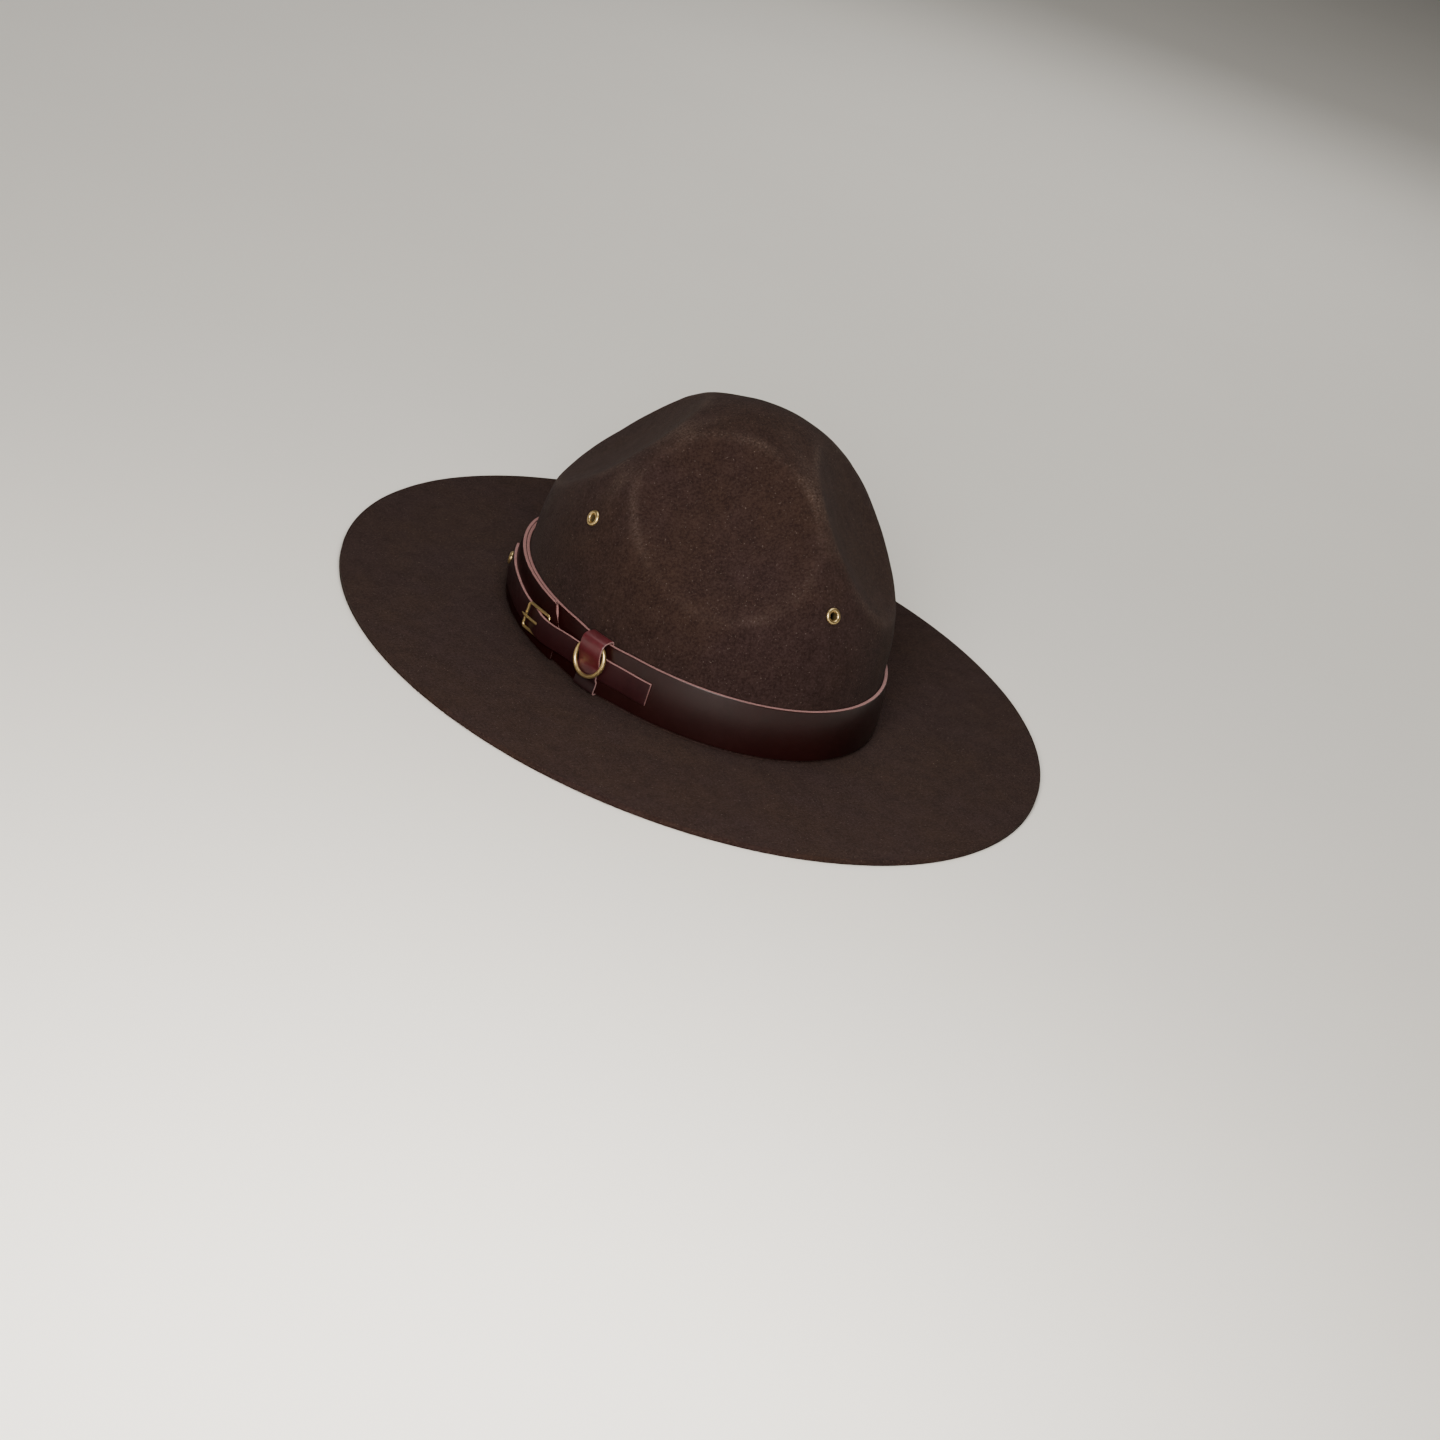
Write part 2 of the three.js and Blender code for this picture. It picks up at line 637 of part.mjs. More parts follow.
// Route of the keeper's leather, seen along the band: up its back, over the ring's top and down its face
function keeperRoute() {
  const half = KEEPER_LEATHER / 2;
  const back = GAP + half;
  const foot = BRIM_TOP + GAP + half;
  const top = BAND_TOP + GAP + half;
  const overRing = ringTopOut + RING_WIRE / 2 + 3 * GAP + half;
  const onStrap = keeperStrap + GAP + half;
  const onBand = keeperBand + GAP + half;
  const ringTop = ringHeight + ringRadius;
  const strapFoot = strapHeight(KEEPER_TURN) - STRAP_WIDTH / 2;
  return [
    { height: foot + half, out: back },
    { height: (foot + top) / 2, out: back },
    { height: top - half, out: back },
    { height: top + half, out: back + KEEPER_LEATHER },
    { height: top + half, out: (back + overRing) / 2 },
    { height: top, out: overRing - KEEPER_LEATHER },
    { height: ringTop + half, out: overRing },
    { height: ringHeight + ringRadius / 2, out: overRing + GAP },
    { height: ringHeight, out: (overRing + onStrap) / 2 },
    { height: ringHeight - ringRadius / 3, out: onStrap },
    { height: strapFoot - half, out: onStrap },
    { height: strapFoot - STRAP_LEATHER - KEEPER_LEATHER, out: onBand },
    { height: foot + half, out: onBand },
    { height: foot, out: onBand - half },
    { height: foot, out: back + half },
  ].map((place) => new THREE.Vector2(place.out, place.height));
}

function keeperLoop() {
  const route = keeperRoute();
  const count = route.length;
  const across = [-0.5, 0, 0.5].map((share) => share * KEEPER_WIDTH);
  const flat = loft(route.map((point, index) => {
    const before = route[(index + count - 1) % count];
    const after = route[(index + 1) % count];
    const first = new THREE.Vector2().subVectors(point, before).normalize();
    const second = new THREE.Vector2().subVectors(after, point).normalize();
    const forward = first.clone().add(second).normalize();
    const spread = KEEPER_LEATHER / 2 / Math.max(forward.dot(first), 0.6);
    const side = new THREE.Vector2(forward.y, -forward.x).multiplyScalar(spread);
    const ply = (sign) => across.map((along) => new THREE.Vector3(
      along,
      point.y + sign * side.y,
      point.x + sign * side.x,
    ));
    return [...ply(-1), ...ply(1).reverse()];
  }), true);
  return wrapRoundWall(flat, KEEPER_TURN, () => 0);
}

function keeperRing() {
  const lean = Math.asin((ringFootOut - ringTopOut) / (2 * ringRadius));
  const place = placeOnWall(KEEPER_TURN, ringHeight, (ringTopOut + ringFootOut) / 2);
  return new THREE.TorusGeometry(ringRadius, RING_WIRE / 2, WIRE_SIDES, RING_STEPS)
    .rotateX(-lean)
    .applyMatrix4(place);
}

// Rivet: its dome lies on the strap and its shank goes through the strap and the band
const rivetPlace = placeOnWall(RIVET_TURN, strapHeight(RIVET_TURN), strapFace(RIVET_TURN));

function strapRivet() {
  const shank = RIVET_SHANK / 2;
  const head = RIVET_HEAD / 2;
  const under = STRAP_LEATHER + GAP;
  const outline = [
    [0, -BAND_LEATHER - GAP],
    [shank, -BAND_LEATHER - GAP],
    [shank, under],
    ...RIVET_SECTION.map((row) => [row.out * head, under + row.rise * RIVET_DOME]),
  ].map(([radius, height]) => new THREE.Vector2(radius, height));
  return new THREE.LatheGeometry(outline, RIVET_SIDES).rotateX(Math.PI / 2).applyMatrix4(rivetPlace);
}

function rivetCutter() {
  const radius = RIVET_SHANK / 2 + GAP;
  return new THREE.CylinderGeometry(radius, radius, 10 * STRAP_LEATHER, RIVET_SIDES)
    .rotateX(Math.PI / 2)
    .applyMatrix4(rivetPlace);
}

// Finishes
const felt = { color: 0x2f241e, roughness: 0.95, metalness: 0 };
const bandLeather = { color: 0x1e0c0c, roughness: 0.3, metalness: 0 };
const keeperLeather = { color: 0x4a141c, roughness: 0.35, metalness: 0 };
const brass = { color: 0xb08d4f, roughness: 0.3, metalness: 1 };

const hat = new THREE.Group();

function addPiece(name, geometry, finish) {
  const mesh = new THREE.Mesh(geometry, new THREE.MeshStandardMaterial(finish));
  mesh.name = name;
  hat.add(mesh);
}

const eyeletTurns = { left: 0, back: 90, right: 180, front: 270 };
const eyeletPlaces = Object.values(eyeletTurns).map(placeOnCrown);

addPiece('felt_body', cut(feltBody(), eyeletPlaces.map((place) => eyeletCutter().applyMatrix4(place))), felt);
addPiece('hat_band', cut(hatBand(), [chapeNotch(), rivetCutter()]), bandLeather);
addPiece('buckle_strap', cut(buckleStrap(), [tongueSlot(), rivetCutter()]), bandLeather);
addPiece('buckle_chape', buckleChape(), bandLeather);
addPiece('keeper_loop', keeperLoop(), keeperLeather);
addPiece('buckle_frame', buckleFrame(), brass);
addPiece('buckle_tongue', buckleTongue(), brass);
addPiece('keeper_ring', keeperRing(), brass);
addPiece('strap_rivet', strapRivet(), brass);
Object.entries(eyeletTurns).forEach(([name, turn], index) => {
  addPiece(`eyelet_${name}`, eyelet(turn).applyMatrix4(eyeletPlaces[index]), brass);
});

export default hat;
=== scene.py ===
"""A felt campaign hat with a buckled leather band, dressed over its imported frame, in metres, +Z up.

The wearer faces -Y and has the left hand at +X. Turns run from the wearer's left towards the back.
"""

import math

import bmesh
import bpy
import numpy as np
from bpy.props import FloatProperty, FloatVectorProperty, IntProperty, PointerProperty
from mathutils import Matrix, Vector, noise


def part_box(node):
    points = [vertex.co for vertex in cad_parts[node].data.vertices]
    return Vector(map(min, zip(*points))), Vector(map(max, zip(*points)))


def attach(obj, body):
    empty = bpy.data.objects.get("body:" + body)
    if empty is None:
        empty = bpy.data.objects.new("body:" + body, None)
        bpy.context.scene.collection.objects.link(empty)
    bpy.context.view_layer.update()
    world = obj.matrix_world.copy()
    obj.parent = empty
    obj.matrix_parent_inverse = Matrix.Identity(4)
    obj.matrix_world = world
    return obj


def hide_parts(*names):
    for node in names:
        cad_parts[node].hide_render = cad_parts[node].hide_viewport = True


bl_info = {
    "name": "Campaign Hat",
    "version": (1, 0, 0),
    "blender": (4, 5, 0),
    "location": "View3D > Sidebar > Hat",
    "description": "Builds a felt campaign hat with a buckled leather band",
    "category": "Add Mesh",
}

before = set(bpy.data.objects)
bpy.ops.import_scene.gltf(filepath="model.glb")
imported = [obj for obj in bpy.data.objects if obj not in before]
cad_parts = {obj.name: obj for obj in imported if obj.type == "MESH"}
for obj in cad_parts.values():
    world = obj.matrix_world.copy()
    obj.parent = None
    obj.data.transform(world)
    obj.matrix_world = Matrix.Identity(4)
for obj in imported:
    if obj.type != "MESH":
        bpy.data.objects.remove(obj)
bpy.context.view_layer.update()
FELT_LOW, FELT_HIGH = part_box("felt_body")
BAND_LOW, BAND_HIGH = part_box("hat_band")

# Crown from its peak to the top of the band. height is a share of what is left of the crown above the band,
# side and end are shares of its half width and half length.
CROWN_SECTIONS = [
    {"height": 1.0, "side": 0.0, "end": 0.0},
    {"height": 0.999, "side": 0.033, "end": 0.027},
    {"height": 0.98, "side": 0.172, "end": 0.146},
    {"height": 0.94, "side": 0.33, "end": 0.275},
    {"height": 0.89, "side": 0.468, "end": 0.415},
    {"height": 0.83, "side": 0.582, "end": 0.533},
    {"height": 0.76, "side": 0.69, "end": 0.635},
    {"height": 0.67, "side": 0.8, "end": 0.735},
    {"height": 0.565, "side": 0.875, "end": 0.82},
    {"height": 0.45, "side": 0.93, "end": 0.885},
    {"height": 0.335, "side": 0.967, "end": 0.935},
    {"height": 0.2, "side": 0.99, "end": 0.973},
    {"height": 0.0, "side": 1.0, "end": 1.0},
]

# End of the band's outer layer: setback is a share of the band's height, as height is.
BAND_END = [
    {"height": 0.0, "setback": 0.0},
    {"height": 0.6, "setback": 0.0},
    {"height": 1.0, "setback": 0.42},
]

# Steps along the band over which the slant of its end dies out.
SLANT_STEPS = 14

# Line of the strap: turn in degrees, height as a share of the band's height.
STRAP_LINE = [
    {"turn": -43.0, "height": 0.48},
    {"turn": -24.0, "height": 0.465},
    {"turn": -10.0, "height": 0.43},
    {"turn": 1.0, "height": 0.455},
    {"turn": 12.0, "height": 0.51},
    {"turn": 22.0, "height": 0.525},
    {"turn": 38.5, "height": 0.495},
]

# How closely the felt's waves follow one another, per metre.
WAVES = 42.0
RIPPLES = 95.0
BRIM_WAVES = 26.0

# Widths over which the nap is brushed up and lightened as a painted highlight on dent rims and ridges, in
# metres.
RIM_INSET = 0.0004
RIM_WIDTH = 0.0015
RIDGE_WIDTH = 0.0045

# Ends of a strip of leather, by steps from the end: how far it thins, and how raw it is.
END_TUCK = {0: 0.28, 1: 0.1736, 2: 0.07}
END_RAW = {0: 0.9, 1: 0.6}

# Section of an eyelet's rolled rim: out from its hole to its outer edge, rise as a share of its height.
EYELET_SECTION = [
    {"out": 1.0, "rise": -0.25},
    {"out": 1.0, "rise": 0.2},
    {"out": 0.93, "rise": 0.55},
    {"out": 0.78, "rise": 0.85},
    {"out": 0.55, "rise": 1.0},
    {"out": 0.3, "rise": 0.95},
    {"out": 0.1, "rise": 0.7},
    {"out": 0.0, "rise": 0.3},
    {"out": 0.0, "rise": -4.4},
]

# Soft round lights, in metres and watts.
LIGHTS = [
    {"name": "top", "place": (-0.2, -0.1, 2.4), "target": (0.0, 0.0, 0.0),
     "size": 2.0, "power": 37.0, "tint": (1.0, 0.985, 0.96)},
    {"name": "side", "place": (0.62, 0.61, 0.42), "target": (0.05, 0.1, 0.02),
     "size": 0.4, "power": 8.6, "tint": (1.0, 0.96, 0.92)},
    {"name": "back", "place": (0.3, 0.5, 0.3), "target": (0.1, 0.17, 0.0),
     "size": 0.3, "power": 1.3, "tint": (1.0, 0.96, 0.92)},
    {"name": "fill", "place": (-1.0, -0.9, 0.9), "target": (0.0, 0.0, 0.05),
     "size": 1.2, "power": 4.5, "tint": (1.0, 0.99, 0.97)},
]

# Section of the rivet's dome, as shares of its half width and its height.
RIVET_SECTION = [
    {"out": 1.0, "rise": -0.2},
    {"out": 1.0, "rise": 0.15},
    {"out": 0.95, "rise": 0.38},
    {"out": 0.82, "rise": 0.62},
    {"out": 0.6, "rise": 0.83},
    {"out": 0.32, "rise": 0.96},
    {"out": 0.0, "rise": 1.0},
]


def length(name, default, description):
    return FloatProperty(name=name, description=description, default=default, unit="LENGTH", precision=5)


def angle(name, degrees, description):
    return FloatProperty(name=name, description=description, default=math.radians(degrees), subtype="ANGLE")


def colour(name, value, description):
    return FloatVectorProperty(name=name, description=description, default=value, subtype="COLOR", size=3,
                               min=0.0, max=1.0)


class HatFeltSizes(bpy.types.PropertyGroup):
    """Sizes of the crown and the brim"""

    crown_width: length("Crown width", 0.1654, "Width of the crown at the top of the band")
    crown_length: length("Crown length", 0.2074, "Length of the crown at the top of the band")
    crown_height: length("Crown height", FELT_HIGH.z, "Height of the peak above the ground")
    brim_width: length("Brim width", FELT_HIGH.x - 0.0851, "From the foot of the crown to the brim's edge")
    felt: length("Felt", 0.0026, "Thickness of the felt")
    wall_flare: length("Wall flare", 0.0024, "How far the wall behind the band stands out at its foot")
    brim_break: length("Brim break", 0.0012, "Radius of the fold between crown and brim")
    edge_round: length("Edge round", 0.0005, "Rounding of the brim's cut edge")
    dent_turn: angle("Dent turn", 42.2, "Direction of a dent from the side of the crown")
    dent_tilt: angle("Dent tilt", 42.4, "Upward tilt of a dent")
    dent_depth: length("Dent depth", 0.0119, "How far a dent's rim plane lies inside the dome's reach")
    dent_press: FloatProperty(name="Dent press", default=1.4, min=0.0,
                              description="How far a dent is pressed in, per depth cut off")
    dent_rounding: length("Dent rounding", 0.0016, "Softness of a dent's rim")
    unevenness: length("Unevenness", 0.00035, "Depth of the felt's slight unevenness")
    columns: IntProperty(name="Columns", description="Divisions round the crown", default=300, min=60)
    crown_rows: IntProperty(name="Crown rows", default=104, min=20,
                            description="Divisions from the peak to the band")
    brim_rows: IntProperty(name="Brim rows", description="Divisions across the brim", default=34, min=4)


class HatLeatherSizes(bpy.types.PropertyGroup):
    """Sizes and places of the band, the strap, the keeper and the chape"""

    gap: length("Gap", 0.0003, "Gap between neighbouring layers")
    layer_gap: length("Layer gap", 0.0001, "Gap between the band's two layers")
    band_height: length("Band height", BAND_HIGH.z - BAND_LOW.z, "Height of the band")
    band_foot: length("Band foot", BAND_LOW.z, "Height of the band's lower edge")
    band_leather: length("Band leather", 0.0017, "Thickness of the band")
    band_bulge: length("Band bulge", 0.0005, "How far the band's face is rounded out between its edges")
    strap_width: length("Strap width", 0.0105, "Width of the strap")
    strap_leather: length("Strap leather", 0.0014, "Thickness of the strap")
    keeper_width: length("Keeper width", 0.0125, "Width of the keeper")
    keeper_leather: length("Keeper leather", 0.001, "Thickness of the keeper")
    chape_width: length("Chape width", 0.0084, "Width of the chape")
    chape_leather: length("Chape leather", 0.0006, "Thickness of the chape")
    chape_length: length("Chape length", 0.011, "Length of the chape behind the buckle")
    strap_bulge: length("Strap bulge", 0.0002, "How far the strap's face is rounded out between its edges")
    edge_round: length("Edge round", 0.00028, "Rounding of the band's edges")
    narrow_round: length("Narrow round", 0.000224, "Rounding of the strap's and the keeper's edges")
    band_outer_end: angle("Band outer end", 6.5, "Turn at which the outer layer ends")
    band_inner_end: angle("Band inner end", -52.0, "Turn at which the inner layer ends")
    band_ease: angle("Band ease", 14.0, "Turn over which the outer layer settles onto the felt")
    strap_front: angle("Strap front", -43.0, "Turn of the strap's front end")
    strap_tip: angle("Strap tip", 38.5, "Turn of the strap's tip")
    keeper_turn: angle("Keeper turn", 20.3, "Turn of the keeper and its ring")
    keeper_ease: angle("Keeper ease", 8.0, "Turn over which the band rises to the keeper")


class HatBrassSizes(bpy.types.PropertyGroup):
    """Sizes and places of the buckle, the ring, the rivet and the eyelets"""

    buckle_length: length("Buckle length", 0.015, "Distance between the buckle's bars along the wall")
    buckle_wire: length("Buckle wire", 0.0014, "Thickness of the buckle's wire")
    buckle_corner: length("Buckle corner", 0.0016, "Corner radius of the buckle")
    tongue: length("Tongue", 0.0014, "Thickness of the tongue")
    ring_outer: length("Ring width", 0.019, "Outer width of the ring")
    ring_wire: length("Ring wire", 0.002, "Thickness of the ring")
    rivet_head: length("Rivet head", 0.0066, "Width of the rivet's head")
    rivet_dome: length("Rivet dome", 0.0013, "Height of the rivet's head")
    rivet_shank: length("Rivet shank", 0.0024, "Width of the rivet's shank")
    rivet_depth: length("Rivet depth", 0.0025, "How far the shank reaches into the leather")
    eyelet_outer: length("Eyelet width", 0.0077, "Outer width of an eyelet")
    eyelet_hole: length("Eyelet hole", 0.0041, "Width of an eyelet's hole")
    eyelet_rim: length("Eyelet rim", 0.0009, "Height of an eyelet's rim")
    eyelet_metal: length("Eyelet metal", 0.0005, "Thickness of an eyelet's metal")
    eyelet_height: length("Eyelet height", 0.0725, "Height of the eyelets above the ground")
    buckle_turn: angle("Buckle turn", -2.6, "Turn of the buckle's middle")
    rivet_turn: angle("Rivet turn", -38.6, "Turn of the rivet")
    sides: IntProperty(name="Sides", description="Sides of a wire's section", default=20, min=8)


class HatColours(bpy.types.PropertyGroup):
    """Colours of the felt, the leather and the brass"""

    felt_dark: colour("Felt, dark", (0.0132, 0.0068, 0.0058), "Darkest tone of the felt")
    felt_light: colour("Felt, light", (0.0390, 0.0218, 0.0158), "Lightest tone of the felt")
    felt_cool: colour("Felt, cool", (0.0350, 0.0200, 0.0185), "Cooler tone, in wide clouds on the felt")
    # Tone of rims and ridges: brushed nap, made paler still as a painted highlight where they would catch the
    # light.
    felt_brushed_highlight: colour("Felt, brushed", (0.104, 0.072, 0.057), "Tone of rims and ridges")
    felt_fibre: colour("Felt, fibres", (0.25, 0.19, 0.155), "Tone of single light fibres")
    band: colour("Band", (0.014, 0.0025, 0.0022), "Face of the band")
    strap: colour("Strap", (0.020, 0.0032, 0.0041), "Face of the strap")
    keeper: colour("Keeper", (0.085, 0.006, 0.010), "Face of the keeper")
    raw_edge: colour("Raw edge", (0.42, 0.215, 0.20), "Cut edges of the leather")
    brass: colour("Brass", (0.86, 0.76, 0.52), "Polished brass")
    brass_dull: colour("Brass, dull", (0.52, 0.42, 0.25), "Aged brass")


class HatStage(bpy.types.PropertyGroup):
    """Camera, lights and floor"""

    lens: FloatProperty(name="Lens", description="Focal length in millimetres", default=77.5, min=1.0)
    camera_turn: angle("Camera turn", 141.5, "Azimuth of the camera")
    camera_lift: angle("Camera lift", 24.638, "Elevation of the camera")
    camera_roll: angle("Camera roll", 17.819, "Roll of the camera")
    camera_distance: length("Camera distance", 1.50809, "From the camera to the middle of the ground")
    camera_across: length("Camera across", 0.013947, "Shift of the camera to its right")
    camera_up: length("Camera up", -0.033121, "Shift of the camera upwards")
    camera_ground: length("Camera ground", 0.002, "Height of the point that the camera was set out from")
    floor: colour("Floor", (0.93, 0.895, 0.82), "Floor and backdrop")


def sizes():
    scene = bpy.context.scene
    return scene.hat_felt, scene.hat_leather, scene.hat_brass


# Forms

def smooth(share):
    held = min(max(share, 0.0), 1.0)
    return held * held * (3 - 2 * held)


def mix(low, high, share):
    return low + (high - low) * share


def read_table(rows, key, value, column):
    """Reads a column of a table between its rows, eased from one row to the next"""
    if value <= rows[0][key]:
        return rows[0][column]
    for before, after in zip(rows, rows[1:]):
        if value <= after[key]:
            share = (value - before[key]) / (after[key] - before[key])
            return mix(before[column], after[column], smooth(share))
    return rows[-1][column]


def curve_through(points, count):
    """Centripetal curve through points, as count points evenly spaced along it"""
    points = np.array(points)
    first = 2 * points[0] - points[1]
    last = 2 * points[-1] - points[-2]
    padded = np.vstack([first, points, last])
    fine = []
    for index in range(len(points) - 1):
        a, b, c, d = padded[index:index + 4]
        before, here, after = (max(math.sqrt(np.linalg.norm(q - p)), 1e-6)
                               for p, q in ((a, b), (b, c), (c, d)))
        leave = ((b - a) / before - (c - a) / (before + here) + (c - b) / here) * here
        arrive = ((c - b) / here - (d - b) / (here + after) + (d - c) / after) * here
        for t in np.linspace(0, 1, 24, endpoint=False):
            fine.append(b + leave * t + (3 * (c - b) - 2 * leave - arrive) * t**2
                        + (2 * (b - c) + leave + arrive) * t**3)
    fine.append(points[-1])
    fine = np.array(fine)
    run = np.concatenate([[0], np.cumsum(np.linalg.norm(np.diff(fine, axis=0), axis=1))])
    even = np.linspace(0, run[-1], count)
    return np.stack([np.interp(even, run, fine[:, axis]) for axis in range(fine.shape[1])], axis=1)


def soften(points, passes):
    """Evens out a line of points between its fixed ends"""
    points = points.copy()
    for _ in range(passes):
        points[1:-1] = (points[:-2] + 2 * points[1:-1] + points[2:]) / 4
    return points


def band_levels():
    leather = bpy.context.scene.hat_leather
    return leather.band_foot, leather.band_foot + leather.band_height


def wall_point(turn, height, out):
    """Outer face of the felt wall behind the band, moved out by a distance"""
    felt, _, _ = sizes()
    _, top = band_levels()
    share = min(max((top - height) / (top - felt.felt), 0.0), 1.0)
    reach = felt.wall_flare * share + out
    return Vector((
        (felt.crown_width / 2 + reach) * math.cos(turn),
        (felt.crown_length / 2 + reach) * math.sin(turn),
        height,
    ))


def turn_per_metre(turn):
    foot, _ = band_levels()
    step = math.radians(0.5)
    return 2 * step / (wall_point(turn + step, foot, 0.0) - wall_point(turn - step, foot, 0.0)).length


def place_on_wall(turn, height, out):
    """Place for a hard piece: x runs towards the back, y up the wall and z out of it"""
    step = math.radians(0.5)
    rise = 0.0005
    along = (wall_point(turn + step, height, out) - wall_point(turn - step, height, out)).normalized()
    up = (wall_point(turn, height + rise, out) - wall_point(turn, height - rise, out)).normalized()
    return set_axes(along, up, along.cross(up), wall_point(turn, height, out))


def set_axes(x, y, z, origin):
    matrix = Matrix((x, y, z)).transposed().to_4x4()
    matrix.translation = origin
    return matrix


def strap_height(turn):
    _, leather, _ = sizes()
    share = read_table(STRAP_LINE, "turn", math.degrees(turn), "height")
    return leather.band_foot + leather.band_height * share


# Levels of the leather, as distances from the felt

def single_layer():
    _, leather, _ = sizes()
    return leather.gap + leather.band_leather


def keeper_room():
    _, leather, _ = sizes()
    return leather.keeper_leather + leather.gap


def keeper_lift(turn):
    _, leather, _ = sizes()
    half = leather.keeper_width / 2 * turn_per_metre(leather.keeper_turn)
    return keeper_room() * (1 - smooth((abs(turn - leather.keeper_turn) - half) / leather.keeper_ease))


def outer_layer_face(turn):
    _, leather, _ = sizes()
    on_felt = smooth((leather.band_inner_end - turn) / leather.band_ease)
    return mix(single_layer() + leather.layer_gap, leather.gap, on_felt)


def buckle_places():
    """Turns and levels of the buckle's heel bar and end bar"""
    _, leather, brass = sizes()
    half = brass.buckle_length / 2 * turn_per_metre(brass.buckle_turn)
    wire = brass.buckle_wire / 2
    chape_outer = wire + leather.gap + leather.chape_leather
    heel_out = single_layer() + leather.gap + chape_outer
    end_out = 2 * single_layer() + 3 * leather.gap + leather.strap_leather + wire
    return brass.buckle_turn + half, heel_out, brass.buckle_turn - half, end_out, chape_outer


def strap_face(turn):
    """Inner face of the strap: on the outer layer, over the heel bar, then down to the keeper and the tip"""
    _, leather, brass = sizes()
    heel, heel_out, end, _, chape_outer = buckle_places()
    rate = turn_per_metre(brass.buckle_turn)
    clear_of_bar = (brass.buckle_wire + leather.gap) * rate
    front = outer_layer_face(turn) + leather.band_leather + leather.gap
    over_heel = heel_out + chape_outer + leather.gap
    rise = smooth((turn - end - clear_of_bar) / (heel - end - 2 * clear_of_bar))
    fall_start = heel + chape_outer * rate
    fall_end = leather.keeper_turn - leather.keeper_width / 2 * rate
    fall = smooth((turn - fall_start) / (fall_end - fall_start))
    rear = single_layer() + leather.gap + (keeper_room() if turn < leather.keeper_turn else keeper_lift(turn))
    return mix(mix(front, over_heel, rise), rear, fall)


# Meshes

def new_piece(name, vertices, faces):
    mesh = bpy.data.meshes.new(name)
    mesh.from_pydata([tuple(v) for v in vertices], [], faces)
    mesh.update()
    piece = bpy.data.objects.new(name, mesh)
    bpy.context.scene.collection.objects.link(piece)
    return piece


def shade_smooth(piece):
    piece.data.polygons.foreach_set("use_smooth", [True] * len(piece.data.polygons))
    piece.data.update()


def face_outwards(piece):
    form = bmesh.new()
    form.from_mesh(piece.data)
    bmesh.ops.remove_doubles(form, verts=form.verts, dist=1e-7)
    bmesh.ops.recalc_face_normals(form, faces=form.faces)
    form.to_mesh(piece.data)
    form.free()


def add_values(piece, name, values):
    attribute = piece.data.attributes.new(name, "FLOAT", "POINT")
    attribute.data.foreach_set("value", np.asarray(values, dtype=np.float32))


def loft(loops, joined):
    """Vertices and faces through loops of equally many points, the ends joined or capped with a fan"""
    count = len(loops[0])
    vertices = [point for loop in loops for point in loop]
    faces = []
    spans = len(loops) if joined else len(loops) - 1
    for row in range(spans):
        here, there = row * count, (row + 1) % len(loops) * count
        for column in range(count):
            beside = (column + 1) % count
            faces.append((here + column, there + column, there + beside, here + beside))
    if not joined:
        for start, turned in ((0, False), ((len(loops) - 1) * count, True)):
            ring = vertices[start:start + count]
            middle = sum((Vector(p) for p in ring), Vector()) / count
            vertices.append(middle)
            for column in range(count):
                beside = (column + 1) % count
                pair = (start + beside, start + column) if turned else (start + column, start + beside)
                faces.append((len(vertices) - 1, *pair))
    return vertices, faces


# Geometry node helpers

def new_tree(name, inputs):
    """A geometry tree with a geometry input and output and named inputs"""
    tree = bpy.data.node_groups.new(name, "GeometryNodeTree")
    tree.interface.new_socket("Geometry", in_out="INPUT", socket_type="NodeSocketGeometry")
    for label, kind, default in inputs:
        socket = tree.interface.new_socket(label, in_out="INPUT", socket_type=kind)
        if default is not None:
            socket.default_value = default
    tree.interface.new_socket("Geometry", in_out="OUTPUT", socket_type="NodeSocketGeometry")
    return tree, tree.nodes.new("NodeGroupInput"), tree.nodes.new("NodeGroupOutput")


def end_tree(tree, given, result, geometry):
    """Ends a tree with its instances made real and its material set"""
    joined = tree.nodes.new("GeometryNodeRealizeInstances")
    dress = tree.nodes.new("GeometryNodeSetMaterial")
    tree.links.new(geometry, joined.inputs["Geometry"])
    tree.links.new(joined.outputs["Geometry"], dress.inputs["Geometry"])
    tree.links.new(given.outputs["Material"], dress.inputs["Material"])
    tree.links.new(dress.outputs["Geometry"], result.inputs["Geometry"])


def run_tree(piece, tree, values):
    """Gives the piece the tree's result as a plain mesh"""
    modifier = piece.modifiers.new(tree.name, "NODES")
    modifier.node_group = tree
    named = {item.name: item.identifier for item in tree.interface.items_tree if item.in_out == "INPUT"}
    for label, value in values.items():
        modifier[named[label]] = value
    return plain(piece)


def plain(piece):
    """Applies all modifiers of the piece"""
    bpy.context.view_layer.update()
    shown = piece.evaluated_get(bpy.context.evaluated_depsgraph_get())
    mesh = bpy.data.meshes.new_from_object(shown)
    piece.modifiers.clear()
    piece.data = mesh
    return piece


# Materials

def shader_group(name, inputs, outputs):
    group = bpy.data.node_groups.new(name, "ShaderNodeTree")
    for label, kind, default in inputs:
        socket = group.interface.new_socket(label, in_out="INPUT", socket_type=kind)
        if default is not None:
            socket.default_value = default
    for label, kind in outputs:
        group.interface.new_socket(label, in_out="OUTPUT", socket_type=kind)
    return group, group.nodes.new("NodeGroupInput"), group.nodes.new("NodeGroupOutput")


def texture(tree, kind, place, scale, **settings):
    node = tree.nodes.new(kind)
    for key, value in settings.items():
        if key in node.inputs:
            node.inputs[key].default_value = value
        else:
            setattr(node, key, value)
    tree.links.new(place, node.inputs["Vector"])
    if isinstance(scale, (int, float)):
        node.inputs["Scale"].default_value = scale
    else:
        tree.links.new(scale, node.inputs["Scale"])
    return node


